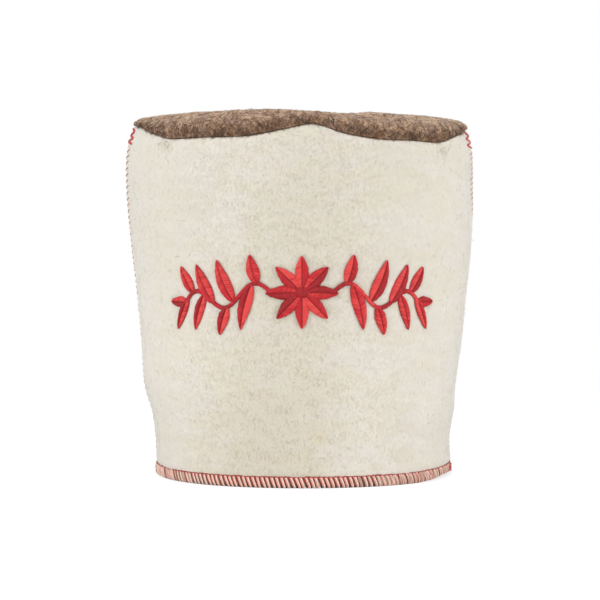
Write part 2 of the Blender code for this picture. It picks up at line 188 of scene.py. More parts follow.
# Broad dents of the wall, which swell outwards where their depth is over 0.
Dent = namedtuple("Dent", "side share height depth spread rise")
DENTS = rows_of(Dent, [
    (FRONT, 0.06, 240, 3.5, 0.11, 34),
    (FRONT, -0.22, 212, -1.8, 0.16, 26),
    (FRONT, 0.36, 208, -2.0, 0.17, 26),
    (FRONT, -0.78, 222, -2.2, 0.10, 14),
    (FRONT, 0.82, 219, -2.4, 0.10, 14),
    (FRONT, -0.72, 46, -2.0, 0.20, 15),
    (BACK, 0.00, 236, 3.0, 0.14, 30),
    (BACK, -0.50, 206, -2.2, 0.20, 24),
    (BACK, 0.52, 208, -2.0, 0.20, 24),
    (BACK, 0.66, 48, -2.0, 0.20, 16),
], plain=("side", "share", "spread"))

# How far the wall is drawn in beside its side seams, from the hem up.
Pinch = namedtuple("Pinch", "height depth")
PINCHES = rows_of(Pinch, [(8, 0.0), (30, 2.0), (120, 3.2), (200, 4.2), (224, 5.5), (238, 1.6)])

# Creases where the crown pulls at the wall's corners. Tilt leans a crease's foot outwards, in mm for each mm.
Crease = namedtuple("Crease", "side share height length tilt depth width")
CREASES = rows_of(Crease, [
    (FRONT, -0.66, 226, 9, 0.5, 0.9, 1.6),
    (FRONT, -0.60, 224, 8, 0.2, 0.8, 1.5),
    (FRONT, -0.53, 225, 7, -0.2, 0.6, 1.5),
    (FRONT, 0.62, 222, 9, 0.1, 0.6, 1.6),
    (FRONT, 0.69, 224, 8, -0.4, 0.5, 1.5),
    (FRONT, 0.10, 222, 22, 0.1, 0.5, 4.0),
    (BACK, -0.66, 226, 9, 0.3, 0.8, 1.6),
    (BACK, 0.64, 225, 9, -0.3, 0.8, 1.6),
], plain=("side", "share", "tilt"))

# Leaves and petals by where they start along the vine or from the middle, and the turn they take on the way.
Blade = namedtuple("Blade", "along heading bend length width")
PETALS = 8
PETAL = Blade(2.5 * MM, 0.0, 0.0, 21.5 * MM, 9.4 * MM)
HEART_RADIUS = 4.6 * MM
VINE_START, VINE_END = 20.0 * MM, 85.0 * MM
VINE_SWING, VINE_WAVE, VINE_WIDTH = 7.0 * MM, 44.0 * MM, 2.8 * MM
LEAVES = rows_of(Blade, [
    (29.0, 66.0, 24.0, 20.0, 8.8),
    (33.0, -64.0, -22.0, 31.0, 9.6),
    (46.0, 58.0, 26.0, 31.0, 9.6),
    (51.0, -60.0, -24.0, 19.0, 8.6),
    (61.0, 56.0, 24.0, 30.0, 9.2),
    (68.0, -58.0, -22.0, 24.0, 8.4),
    (77.0, 54.0, 22.0, 21.0, 7.8),
    (82.0, -50.0, -18.0, 22.0, 7.4),
    (84.0, 6.0, 14.0, 15.0, 6.8),
], plain=("heading", "bend"))
LEAF_STEPS = 6  # facets along a leaf in the solid, which its bend follows
LEAF_TIP = 0.5 * MM
LEAF_BELLY, LEAF_FULLNESS = 0.8, 0.75  # under 1 moves a leaf's widest place to its foot, and blunts its ends
LEAF_SAMPLES, VINE_SAMPLES = 121, 161


# The shape of the felt, as the solids have it to within about 3 mm, for whole arrays of places at once.


def eased(rows, column, at, key):
    """Values of a column at places between the rows, on a smooth curve through them."""
    places = np.array([getattr(row, key) for row in rows])
    values = np.array([getattr(row, column) for row in rows])
    order = np.arange(len(rows))
    before, after = np.maximum(order - 1, 0), np.minimum(order + 1, len(rows) - 1)
    slopes = (values[after] - values[before]) / (places[after] - places[before])
    at = np.clip(at, places[0], places[-1])
    i = np.clip(np.searchsorted(places, at, side="right") - 1, 0, len(rows) - 2)
    span = places[i + 1] - places[i]
    t = (at - places[i]) / span
    return (
        values[i] * (1 + 2 * t) * (1 - t) ** 2
        + values[i + 1] * t * t * (3 - 2 * t)
        + span * slopes[i] * t * (1 - t) ** 2
        - span * slopes[i + 1] * t * t * (1 - t)
    )


def level(column, height):
    return eased(LEVELS, column, height, "height")


def dented(side, share, height):
    """How far the dents push the wall outwards."""
    moved = np.zeros(np.broadcast(side, share, height).shape)
    for dent in DENTS:
        across, up = (share - dent.share) / dent.spread, (height - dent.height) / dent.rise
        moved += (side == dent.side) * dent.depth * np.exp(-across * across - up * up)
    return moved


def pinched(off_seam, height):
    """How far the thread draws the wall in at both sides of a side seam, which stands as a soft ridge."""
    start = math.exp(-((1 / PINCH_WIDTH) ** 2))
    shape = np.exp(-(((off_seam / PINCH_REACH - 1) / PINCH_WIDTH) ** 2))
    depth = np.interp(height, [row.height for row in PINCHES], [row.depth for row in PINCHES])
    return depth * np.maximum(shape - start, 0.0) / (1 - start)


def curled(share, height):
    """How far the hem's foot curls up where it nears the right side seam."""
    foot = np.interp(share, [row.share for row in CURLS], [row.height for row in CURLS])
    return foot * np.exp(-height / CURL_FADE)


def wall(side, share, height, inset=0.0, clear=0.0):
    """Points of the wall, this far in from its skin, and kept this clear of the side seams' plane."""
    side, share, height = np.asarray(side), np.asarray(share), np.asarray(height)
    turn = share * CORNER_TURN
    left, right = level("left", height), level("right", height)
    depth = np.where(side == FRONT, level("front", height), level("back", height))
    bow = np.maximum(np.cos(turn) - math.cos(CORNER_TURN), 0.0) / (1 - math.cos(CORNER_TURN))
    bow = bow**FULLNESS
    inset = inset + pinched(depth * bow, height)
    half = (right - left) / 2 - inset
    across = (left + right) / 2 + half * np.sin(turn) / math.sin(CORNER_TURN)
    out = (depth - inset) * bow + dented(side, share, height) * np.minimum(1.0, DENT_FADE * bow)
    height = height + curled(share, height)
    return np.stack(np.broadcast_arrays(across, side * np.maximum(out, clear), height), axis=-1)


def panel_place(around):
    """The panel and the share across it, for places from 0 to 4 round the hat from its left seam."""
    around = np.mod(around, 4.0)
    front = around < 2.0
    return np.where(front, FRONT, BACK), np.where(front, around - 1.0, 3.0 - around)


def round_wall(around, height, inset=0.0):
    side, share = panel_place(around)
    return wall(side, share, height, inset)


def edge_height(side, share):
    """Height of the wall's upper edge."""
    fore = eased(FRONT_EDGE, "height", share, "share")
    return np.where(np.asarray(side) == FRONT, fore, eased(BACK_EDGE, "height", share, "share"))


def unit(vectors):
    return vectors / np.maximum(np.linalg.norm(vectors, axis=-1, keepdims=True), 1e-12)


def out_of_wall(around, height):
    """Directions straight out of the wall."""
    step, rise = 0.004, 0.5 * MM
    forward = round_wall(around + step, height) - round_wall(around - step, height)
    upward = round_wall(around, height + rise) - round_wall(around, height - rise)
    return unit(np.cross(forward, upward))


def lengths_along(points):
    """Lengths from the first of a line of points to each of them."""
    return np.concatenate([[0.0], np.cumsum(np.linalg.norm(np.diff(points, axis=0), axis=1))])


def girth(height):
    """Lengths along the felt once round the hat at a height, and the places round it that they reach."""
    around = np.linspace(0.0, 4.0, GIRTH_STEPS + 1)
    return lengths_along(round_wall(around, np.full(GIRTH_STEPS + 1, height))), around


def hem_places(run):
    """Places round the hat at lengths along the hem."""
    lengths, around = girth(HEM_LEVEL)
    return np.interp(np.mod(run, lengths[-1]), lengths, around)


def seam_round(seam, height, reach):
    """Places round the hat at lengths from a side seam (0 left, 2 right), below 0 towards smaller places."""
    lengths, around = girth(height)
    start = np.interp(seam, around, lengths)
    return np.interp(np.mod(start + reach, lengths[-1]), lengths, around)


def crown_seam(around):
    side, share = panel_place(around)
    return wall(side, share, edge_height(side, share))


def crown_height(seam, point, inset, thickness):
    """Height of the crown, or of its underside, at points this far in from its seam."""
    brow = eased(CROWN_BROW, "height", (point[..., 0] - CROWN_CENTRE[0]) / CROWN_HALF, "share")
    away = np.hypot(point[..., 0], point[..., 1])
    reach = 1 - np.minimum(away / (SAG_REACH * CROWN_HALF), 1.0) ** 2
    rise = brow - CROWN_SAG * reach * reach - seam[..., 2]
    slack = 1 - np.clip((inset - thickness) / (CROWN_ROLL * rise - thickness), 0.0, 1.0)
    return seam[..., 2] + (rise - thickness) * np.sqrt(1 - slack * slack)


def dome(around, share, inset, thickness=0.0):
    """Points of the crown on the way from its middle to its seam."""
    seam = crown_seam(around)
    arm = np.linalg.norm((seam - CROWN_CENTRE)[..., :2], axis=-1)
    inset = (1 - share) * arm + inset
    point = CROWN_CENTRE + (seam - CROWN_CENTRE) * (1 - inset / arm)[..., None]
    point[..., 2] = crown_height(seam, point, inset, thickness)
    return point


# Relief.


def lumps(points, size, seed):
    """Smooth noise, from about -1 to 1, at each point, with lumps of this size."""
    scaled = np.asarray(points).reshape(-1, 3) / size + seed
    values = np.fromiter((noise.noise(place) for place in scaled.tolist()), float, len(scaled))
    return values.reshape(np.asarray(points).shape[:-1])


def ripples(points, seed):
    """Long low ripples across the wall, from about -1 to 1, that bend down towards the sides."""
    arched = points / np.array((RIPPLE_STRETCH, RIPPLE_STRETCH, 1.0))
    arched[..., 2] += RIPPLE_DROP * (points[..., 0] / LEVELS[-1].right) ** 2
    return lumps(arched, RIPPLE_SIZE, seed)


def grid_outward(points):
    """Unit directions out of a grid of points whose rows run upwards and whose columns run to the right."""
    rising, across = np.gradient(points, axis=0), np.gradient(points, axis=1)
    return unit(np.cross(across, rising))


def creased(side, share, height):
    """How deep the creases under the crown's corners cut into the wall."""
    depth = np.zeros(share.shape)
    half = (LEVELS[-2].right - LEVELS[-2].left) / 2
    for crease in (crease for crease in CREASES if crease.side == side):
        up = height - crease.height
        across = (share - crease.share) * half + up * crease.tilt
        depth += crease.depth * np.exp(-((across / crease.width) ** 2) - (up / crease.length) ** 2)
    return depth


# Many small closed shapes as one mesh.

STRANDS_APART = 7.3  # how far apart in mm the threads lie in the finish's own places, so that none look alike


def thread_shape(sides, stations, pointed):
    """A straight thread along Z, one ring of corners for each station, closed at both ends or pointed."""
    bm = bmesh.new()
    tip = 0.0 if pointed else 1.0
    bmesh.ops.create_cone(bm, cap_ends=True, segments=sides, radius1=1.0, radius2=tip, depth=1.0)
    if stations > 2:
        long_edges = [e for e in bm.edges if abs(e.verts[0].co.z - e.verts[1].co.z) > 0.5]
        bmesh.ops.subdivide_edges(bm, edges=long_edges, cuts=stations - 2)
    return bm


def in_scene(name, data):
    obj = bpy.data.objects.new(name, data)
    bpy.context.scene.collection.objects.link(obj)
    return obj


def arrayed(name, bm, count):
    """A new object with the shape repeated by an Array modifier, applied."""
    mesh = bpy.data.meshes.new(name)
    bm.to_mesh(mesh)
    bm.free()
    obj = in_scene(name, mesh)
    array = obj.modifiers.new("repeat", "ARRAY")
    array.count = count
    array.use_merge_vertices = False
    evaluated = obj.evaluated_get(bpy.context.evaluated_depsgraph_get())
    joined = bpy.data.meshes.new_from_object(evaluated)
    obj.modifiers.clear()
    obj.data = joined
    bpy.data.meshes.remove(mesh)
    joined.name = name
    return obj


def threads(name, paths, outward, width, lift, sides, pointed=False, tint=None):
    """One piece of many closed threads. Paths and outward have a row for each thread and a point for each
    station. Width is across the felt and lift away from it, or None for round ones. Tint is one number for
    each thread."""
    count, stations = paths.shape[:2]
    shape = thread_shape(sides, stations, pointed)
    corners = np.array([vert.co[:] for vert in shape.verts])
    obj = arrayed(name, shape, count)
    station = np.rint((corners[:, 2] + 0.5) * (stations - 1)).astype(int)
    radius = np.hypot(corners[:, 0], corners[:, 1])
    ring = np.where(radius[:, None] > 1e-6, corners[:, :2] / np.maximum(radius, 1e-6)[:, None], 0.0)
    width = np.broadcast_to(width, (count, stations))
    lift = width if lift is None else np.broadcast_to(lift, (count, stations))
    forward = unit(np.gradient(paths, axis=1))
    up = unit(outward - np.sum(outward * forward, axis=-1, keepdims=True) * forward)
    beside = np.cross(forward, up)
    aside = ring[:, 0] * width[:, station] / 2
    above = ring[:, 1] * lift[:, station] / 2
    places = paths[:, station] + beside[:, station] * aside[..., None] + up[:, station] * above[..., None]
    obj.data.vertices.foreach_set("co", places.astype(np.float32).ravel())
    steps = np.linalg.norm(np.diff(paths, axis=1), axis=-1)
    along = np.concatenate([np.zeros((count, 1)), np.cumsum(steps, axis=1)], axis=1)
    along = along[:, station] + np.arange(count)[:, None] * STRANDS_APART * MM
    straight = np.stack([aside, above, along], axis=-1)
    vectors = obj.data.attributes.new("strand", "FLOAT_VECTOR", "POINT")
    vectors.data.foreach_set("vector", straight.astype(np.float32).ravel())
    tints = np.zeros(count) if tint is None else np.asarray(tint, dtype=float)
    floats = obj.data.attributes.new("tint", "FLOAT", "POINT")
    floats.data.foreach_set("value", np.repeat(tints, len(corners)).astype(np.float32))
    bm = bmesh.new()
    bm.from_mesh(obj.data)
    smoothed(bm, obj.data)
    return obj


def smoothed(bm, mesh):
    """Writes the shape to the mesh, with all its faces turned outwards and shaded smooth."""
    bmesh.ops.recalc_face_normals(bm, faces=bm.faces)
    bm.to_mesh(mesh)
    bm.free()
    mesh.shade_smooth()
    mesh.update()
    return mesh


def felt_object(name, bm):
    return in_scene(name, smoothed(bm, bpy.data.meshes.new(name)))


def laid_out(bm, points, layer=None, values=None):
    """Adds a grid of faces with its corners at the points, whose values go into the layer."""
    up, across = points.shape[0] - 1, points.shape[1] - 1
    made = bmesh.ops.create_grid(bm, x_segments=across, y_segments=up, size=0.5)
    for vert in made["verts"]:
        place = round((vert.co.y + 0.5) * up), round((vert.co.x + 0.5) * across)
        vert.co = points[place]
        if layer is not None:
            vert[layer] = values[place]


def dressed(obj, finish, slot, *nodes):
    """Gives a piece its finish and its place in the frame."""
    obj.data.materials.clear()
    obj.data.materials.append(finish)
    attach(obj, "root")
    if nodes:
        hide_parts(*nodes)


# Finishes.

# The felt is teased most at its middle, from near to far off it, and more so low down.
Teased = namedtuple("Teased", "middle near far low high worn")
TEASED = Teased(-6 * MM, 22 * MM, 84 * MM, 50 * MM, 130 * MM, 1.38)
# The felt gets a painted shade, darker and yellower, in a belt up its middle, where the side lights reach
# least.
# The belt moves to the right by the lean's share of the height.
Worn = namedtuple("Worn", "middle lean near far colour")
MIDDLE_SHADE = Worn(-25 * MM, 0.17, 7 * MM, 72 * MM, (0.885, 0.873, 0.800))
# From and to a height over which the belt fades, and what is left of it above.
MIDDLE_SHADE_HEIGHTS = (40 * MM, 95 * MM, 0.68), (175 * MM, 235 * MM, 0.48)

Drift = namedtuple("Drift", "first second size")
CREAM_DRIFT = Drift((1.0, 1.0, 1.0), (0.984, 0.984, 0.925), (26 * MM, 26 * MM, 11 * MM))
CROWN_DRIFT = Drift((0.98, 0.935, 0.865), (0.78, 0.745, 0.755), (10 * MM, 10 * MM, 7 * MM))


# Three lots of hairs: their size and stretch, how they are turned, and where their noise starts.
HAIRS = (
    (0.85 * MM, 5.0, (0.0, 0.25, 0.0), (0.0, 0.0, 0.0)),
    (0.70 * MM, 6.0, (0.0, 1.0, 0.5), (0.11, 0.07, 0.02)),
    (0.95 * MM, 4.5, (0.3, -0.8, 0.0), (0.03, 0.19, 0.05)),
)
SWIRL = 5.0 * MM, 3.6 * MM  # how large the swirls are and how far they push the hairs
# The sizes of the noise for tufts, for rosy patches and for specks.
TUFT, ROSE, SPECK = (1.6 * MM, 1.6 * MM, 2.6 * MM), (17 * MM, 17 * MM, 8 * MM), (9 * MM, 9 * MM, 12 * MM)
ROSY = (1.0, 0.984, 0.988, 1.0)
# How deep the relief of hairs, tufts and twisted thread looks.
HAIR_DEPTH, TUFT_DEPTH, PLY_DEPTH = 0.14 * MM, 0.45 * MM, 0.09 * MM
FLECK, FLECK_COLOUR = (0.16 * MM, 0.16 * MM, 1.6 * MM), (0.02, 0.01, 0.01, 1.0)
# Painted shadow at the foot of the thread between the hem's bars: from and to a height, and its colour.
SHADOW_LOW, SHADOW_HIGH, GAP_SHADOW = 0.6 * MM, 3.6 * MM, (0.012, 0.006, 0.006, 1.0)
WHITE = (1.0, 1.0, 1.0, 1.0)


def added(tree, kind, inputs, output=0, **settings):
    """Adds a node and gives back what comes out of it. Inputs are values, or what other nodes give out."""
    node = tree.nodes.new(kind)
    for key, value in settings.items():
        setattr(node, key, value)
    for key, value in inputs.items():
        if isinstance(value, bpy.types.NodeSocket):
            tree.links.new(value, node.inputs[key])
        else:
            node.inputs[key].default_value = value
    return node.outputs[output]


class Finish:
    """A material being put together. Each call gives back what comes out of the last node that it adds."""

    def __init__(self, name, roughness, sheen=0.0, sheen_roughness=0.5, specular=0.5):
        self.material = bpy.data.materials.new(name)
        self.material.use_nodes = True
        self.tree = self.material.node_tree
        self.shader = self.tree.nodes["Principled BSDF"]
        self.shader.inputs["Roughness"].default_value = roughness
        self.shader.inputs["Specular IOR Level"].default_value = specular
        self.shader.inputs["Sheen Weight"].default_value = sheen
        self.shader.inputs["Sheen Roughness"].default_value = sheen_roughness

    def add(self, kind, inputs, output=0, **settings):
        return added(self.tree, kind, inputs, output, **settings)

    def places(self):
        return self.add("ShaderNodeTexCoord", {}, "Object")

    def attribute(self, name, output):
        return self.add("ShaderNodeAttribute", {}, output, attribute_name=name)

    def sum(self, a, b, operation="ADD"):
        return self.add("ShaderNodeMath", {0: a, 1: b}, operation=operation)

    def times(self, a, b):
        return self.sum(a, b, "MULTIPLY")

    def off(self, a, b):
        """How far one value is from another."""
        return self.sum(self.sum(a, b, "SUBTRACT"), 0.0, "ABSOLUTE")

    def scaled(self, where, size, turn=(0.0, 0.0, 0.0), shift=(0.0, 0.0, 0.0)):
        """Places in units of the size, which may differ along X, Y and Z, in a turned frame."""
        scale = tuple(1.0 / side for side in size)
        turned = self.add("ShaderNodeMapping", {"Vector": where, "Rotation": turn, "Location": shift})
        return self.add("ShaderNodeMapping", {"Vector": turned, "Scale": scale})

    def cloud(self, where, detail=2.0, roughness=0.5, distortion=0.0, output="Fac"):
        inputs = {"Vector": where, "Scale": 1.0, "Detail": detail, "Roughness": roughness}
        inputs["Distortion"] = distortion
        return self.add("ShaderNodeTexNoise", inputs, output)

    def ranged(self, value, low, high, to_low=0.0, to_high=1.0):
        inputs = {0: value, 1: low, 2: high, 3: to_low, 4: to_high}
        return self.add("ShaderNodeMapRange", inputs, interpolation_type="SMOOTHSTEP")

    def mixed(self, share, a, b, blend="MIX"):
        inputs = {0: share, 6: a, 7: b}
        return self.add("ShaderNodeMix", inputs, 2, data_type="RGBA", blend_type=blend)

    def drifted(self, colour, where, drift):
        """The colour multiplied by tints that take turns over the felt."""
        warm = self.cloud(self.scaled(where, drift.size, shift=(0.4, 0.1, 0.7)), detail=2.0)
        tint = self.mixed(self.ranged(warm, 0.34, 0.66), rgba(drift.first), rgba(drift.second))
        return self.mixed(1.0, colour, tint, "MULTIPLY")

    def swirled(self, where, size, amount):
        """Places pushed about by noise, so that what is laid on them runs in swirls."""
        push = self.cloud(self.scaled(where, (size,) * 3), detail=1.0, output="Color")
        centred = self.add("ShaderNodeVectorMath", {0: push, 1: (0.5, 0.5, 0.5)}, operation="SUBTRACT")
        pushed = self.add("ShaderNodeVectorMath", {0: centred, "Scale": amount}, operation="SCALE")
        return self.add("ShaderNodeVectorMath", {0: where, 1: pushed})

    def hairs(self, where, size, stretch, turn, shift):
        """Thin light lines, as loose hairs make them: ridges of noise that is stretched one way."""
        placed = self.scaled(where, (size, size, size * stretch), turn, shift)
        wave = self.cloud(placed, detail=1.5, roughness=0.6, distortion=0.6)
        return self.ranged(self.off(wave, 0.5), 0.0, 0.11, 1.0, 0.0)

    def bump(self, height, distance, strength=1.0, normal=None):
        inputs = {"Height": height, "Distance": distance, "Strength": strength}
        if normal is not None:
            inputs["Normal"] = normal
        return self.add("ShaderNodeBump", inputs)

    def paint(self, colour, normal):
        self.tree.links.new(colour, self.shader.inputs["Base Color"])
        self.tree.links.new(normal, self.shader.inputs["Normal"])
        return self.material


def rgba(colour, gain=1.0):
    return (*(min(channel * gain, 1.0) for channel in colour[:3]), 1.0)


def felt_finish(name, tones, drift, speck, relief, sheen, stains=(), deep=None, teased=1.0, smooth=1.0,
                patchy=0.45, gaps=(0.30, 0.67), patch=(5 * MM, 5 * MM, 8 * MM), ripple_painted_shading=0.0, worn=False,
                haired=0.60):
    """Matted wool: hairs that run in swirls over darker gaps, drifts of tint, a few specks, and any stains.
    Deep is the colour of painted shade that the wool is multiplied by where the piece's own deep attribute is
    1.
    Teased and smooth are how strong the grain is in the hat's middle and towards its sides. Patchy is how
    strong its patches are and patch their size, and the ripple weight is how much lighter the piece's own
    ripples are painted than the hollows between, as painted light and shade. Gaps are where in the tufts' noise
    the wool turns from dark to light. Haired is how strongly the hairs show."""
    light, middle, dark = tones
    made = Finish(name, 0.95, sheen=sheen, sheen_roughness=0.6, specular=0.2)
    where = made.places()
    swirls = made.swirled(where, *SWIRL)
    upright, leaning, lying = (made.hairs(swirls, *lot) for lot in HAIRS)
    hairs = made.sum(made.sum(upright, leaning, "MAXIMUM"), lying, "MAXIMUM")
    tufts = made.cloud(made.scaled(swirls, TUFT), detail=3.0, roughness=0.55)
    clumps = made.cloud(made.scaled(swirls, patch), detail=1.0)
    tone = made.times(made.ranged(tufts, *gaps, -1.0, 1.0), 0.50)
    tone = made.sum(tone, made.times(made.ranged(clumps, 0.3, 0.7, -1.0, 1.0), patchy))
    tone = made.sum(tone, made.times(hairs, haired))
    aside = made.add("ShaderNodeSeparateXYZ", {"Vector": where}, 0)
    height = aside.node.outputs[2]
    grain = made.ranged(made.off(aside, TEASED.middle), TEASED.near, TEASED.far, teased, smooth)
    grain = made.times(grain, made.ranged(height, TEASED.low, TEASED.high, TEASED.worn, 1.0))
    tone = made.times(tone, grain)
    # Painted light on the ripples' crests and painted shade in the hollows between them.
    if ripple_painted_shading:
        tone = made.sum(tone, made.times(made.attribute("ripple", "Fac"), ripple_painted_shading))
    colour = made.mixed(made.ranged(tone, -1.0, 0.15), rgba(dark), rgba(middle))
    colour = made.mixed(made.ranged(tone, 0.1, 1.0), colour, rgba(light))
    colour = made.drifted(colour, where, drift)
    rosy = made.cloud(made.scaled(where, ROSE, shift=(0.9, 0.5, 0.2)), detail=2.0)
    colour = made.mixed(made.ranged(rosy, 0.35, 0.65), colour, ROSY, "MULTIPLY")
    inputs = {"Vector": made.scaled(swirls, SPECK), "Scale": 1.0}
    cells = made.add("ShaderNodeTexVoronoi", inputs, "Distance")
    specks = made.times(made.ranged(cells, 0.03, 0.10, 1.0, 0.0), 0.35)
    colour = made.mixed(specks, colour, rgba(speck))
    # Painted shade: the belt up the wall's middle is multiplied darker and yellower.
    if worn:
        line = made.sum(made.times(height, MIDDLE_SHADE.lean), MIDDLE_SHADE.middle)
        belt = made.ranged(made.off(aside, line), MIDDLE_SHADE.near, MIDDLE_SHADE.far, 1.0, 0.0)
        for low, high, left in MIDDLE_SHADE_HEIGHTS:
            belt = made.times(belt, made.ranged(height, low, high, 1.0, left))
        colour = made.mixed(belt, colour, rgba(MIDDLE_SHADE.colour), "MULTIPLY")
    # Painted shade where the piece's deep attribute is 1: over the crown's seam and under its rim.
    if deep is not None:
        depth = made.ranged(made.attribute("deep", "Fac"), 0.0, 1.0)
        colour = made.mixed(depth, colour, rgba(deep), "MULTIPLY")
    for place, radius, strength, shade in stains:
        away = made.add("ShaderNodeVectorMath", {0: where, 1: place}, "Value", operation="DISTANCE")
        blotch = made.sum(away, made.times(made.sum(tufts, 0.5, "SUBTRACT"), radius))
        stained = made.ranged(blotch, 0.2 * radius, radius, strength, 0.0)
        colour = made.mixed(stained, colour, rgba(shade), "MULTIPLY")
    fine = made.bump(hairs, HAIR_DEPTH * relief, made.times(grain, 0.6))
    coarse = made.bump(tufts, TUFT_DEPTH * relief, made.times(grain, 0.7), fine)
    return made.paint(colour, coarse)


def thread_finish(name, colours, roughness, twist, sheen=0.1, shaded=False, drift=None):
    """Spun thread: a colour for each tint from 0 up, and a twist that runs round and along each thread.
    Shaded thread gets a painted shadow near the ground where its tint is 2, as between the bars of the hem.
    Loose wool drifts in tint as the felt under it does."""
    made = Finish(name, roughness, sheen=sheen, sheen_roughness=0.4, specular=0.5)
    tint = made.attribute("tint", "Fac")
    strand = made.attribute("strand", "Vector")
    colour = made.add("ShaderNodeRGB", {})
    colour.default_value = rgba(colours[0])
    for number, shade in enumerate(colours[1:], start=1):
        here = made.ranged(tint, number - 0.75, number - 0.25)
        colour = made.mixed(here, colour, rgba(shade))
    flecks = made.cloud(made.scaled(strand, FLECK), detail=2.0, roughness=0.6)
    fleck = made.ranged(flecks, 0.3, 0.7, 0.0, 0.45)
    colour = made.mixed(fleck, colour, FLECK_COLOUR, "SOFT_LIGHT")
    if drift is not None:
        colour = made.drifted(colour, made.places(), drift)
    # Painted shadow low down on the thread between the bars.
    if shaded:
        height = made.add("ShaderNodeSeparateXYZ", {"Vector": made.places()}, 2)
        low = made.ranged(height, SHADOW_LOW, SHADOW_HIGH, 0.92, 0.0)
        low = made.times(low, made.ranged(tint, 0.55, 1.9))
        low = made.times(low, made.ranged(tint, 2.1, 2.4, 1.0, 0.0))
        colour = made.mixed(low, colour, GAP_SHADOW)
    across = made.add("ShaderNodeSeparateXYZ", {"Vector": strand})
    beside, along = across.node.outputs[1], across.node.outputs[2]
    turn = made.sum(beside, across, "ARCTAN2")
    wound = made.sum(made.times(along, 2 * math.pi / twist), made.times(turn, 2.0))
    ply = made.add("ShaderNodeMath", {0: wound}, operation="SINE")
    relief = made.sum(made.times(ply, 0.5), flecks)
    return made.paint(colour, made.bump(relief, PLY_DEPTH, 0.7))


# Settings that a user would change.


class FeltHatWool(bpy.types.PropertyGroup):
    """Colours and fineness of the felt"""

    cream: FloatVectorProperty(
        name="Cream wool", description="Colour of the wall's felt", subtype="COLOR", size=4,
        min=0.0, max=1.0, default=(0.623, 0.585, 0.515, 1.0),
    )
    brown: FloatVectorProperty(
        name="Brown wool", description="Colour of the crown's felt", subtype="COLOR", size=4,
        min=0.0, max=1.0, default=(0.250, 0.150, 0.090, 1.0),
    )
    mesh_step: FloatProperty(
        name="Mesh step", description="Size of the felt's faces", default=1.35 * MM, min=0.5 * MM,
        unit="LENGTH", subtype="DISTANCE",
    )
    lump_height: FloatProperty(
        name="Lump height", description="How far the felt's lumps stand out", default=0.35 * MM,
        unit="LENGTH", subtype="DISTANCE",
    )
    front_fibres: IntProperty(
        name="Front fibres", description="Loose fibres on the front", default=12000, min=0,
    )
    back_fibres: IntProperty(
        name="Back fibres", description="Loose fibres on the back", default=7000, min=0,
    )
    crown_fibres: IntProperty(
        name="Crown fibres", description="Short fibres on the crown", default=16500, min=0,
    )
    crown_curls: IntProperty(
        name="Crown curls", description="Long curled fibres on the crown", default=3300, min=0,
    )


class FeltHatThread(bpy.types.PropertyGroup):
    """Colours of the threads"""

    satin: FloatVectorProperty(
        name="Satin red", description="Colour of the embroidery thread", subtype="COLOR", size=4,
        min=0.0, max=1.0, default=(0.60, 0.012, 0.022, 1.0),
    )
    pale: FloatVectorProperty(
        name="Pale strand", description="Pale strand of the hem's bars", subtype="COLOR", size=4,
        min=0.0, max=1.0, default=(0.82, 0.66, 0.55, 1.0),
    )
    salmon: FloatVectorProperty(
        name="Salmon strand", description="Salmon strand of the hem's bars", subtype="COLOR", size=4,
        min=0.0, max=1.0, default=(0.80, 0.36, 0.30, 1.0),
    )
    maroon: FloatVectorProperty(
        name="Maroon thread", description="Thread between the bars", subtype="COLOR", size=4,
        min=0.0, max=1.0, default=(0.27, 0.040, 0.032, 1.0),
    )


class FeltHatStage(bpy.types.PropertyGroup):
    """Camera, floor and light"""

    camera_distance: FloatProperty(
        name="Camera distance", description="From the camera to the hat's middle", default=2.0,
        unit="LENGTH", subtype="DISTANCE",
    )
    camera_side: FloatProperty(
        name="Camera side", description="How far the camera stands to the right of the hat's middle",
        default=0.35 * MM, unit="LENGTH", subtype="DISTANCE",
    )
    camera_height: FloatProperty(
        name="Camera height", description="Height of the camera over the floor", default=0.247,
        unit="LENGTH", subtype="DISTANCE",
    )
    camera_tilt: FloatProperty(
        name="Camera tilt", description="How far the camera looks down", default=math.radians(3.67),
        unit="ROTATION", subtype="ANGLE",
    )
    lens: FloatProperty(
        name="Lens", description="Focal length on a 36 mm sensor", default=175.2, unit="CAMERA",
    )


# The pieces.

SKINS = {}  # each felt piece's skin, as a grid of points with the directions out of it and its painted shade, for its loose fibres


def cut_edge_steps(length, step):
    """Distances from a section's start, and how far in from the skin, from one cut edge to the other."""
    turns = np.linspace(0.0, math.pi / 2, CUT_STEPS)
    near = np.concatenate([[0.0], CUT_ROUND * (1 - np.cos(turns))])
    near[1] = 0.02 * MM
    depth = np.concatenate([[FELT / 2], CUT_ROUND * (1 - np.sin(turns))])
    start = CUT_ROUND + step / 2
    inner = np.linspace(start, length - start, int((length - 2 * start) / step))
    places = np.concatenate([near, inner, length - near[::-1]])
    return places, np.concatenate([depth, np.zeros(len(inner)), depth[::-1]])


def panel_places(side, rises, arcs):
    """Share and height on a panel, for shares of the way up it and of the way across it along the felt."""
    fine = np.sin(np.linspace(-math.pi / 2, math.pi / 2, 401))
    shares = np.empty((len(rises), len(arcs)))
    for row, rise in enumerate(rises):
        lengths = lengths_along(wall(side, fine, WALL_FOOT + rise * (edge_height(side, fine) - WALL_FOOT)))
        shares[row] = np.interp(arcs * lengths[-1], lengths, fine)
    heights = WALL_FOOT + rises[:, None] * (edge_height(side, shares) - WALL_FOOT)
    return shares, heights


def hill(distance, width):
    return np.exp(-((distance / width) ** 2))


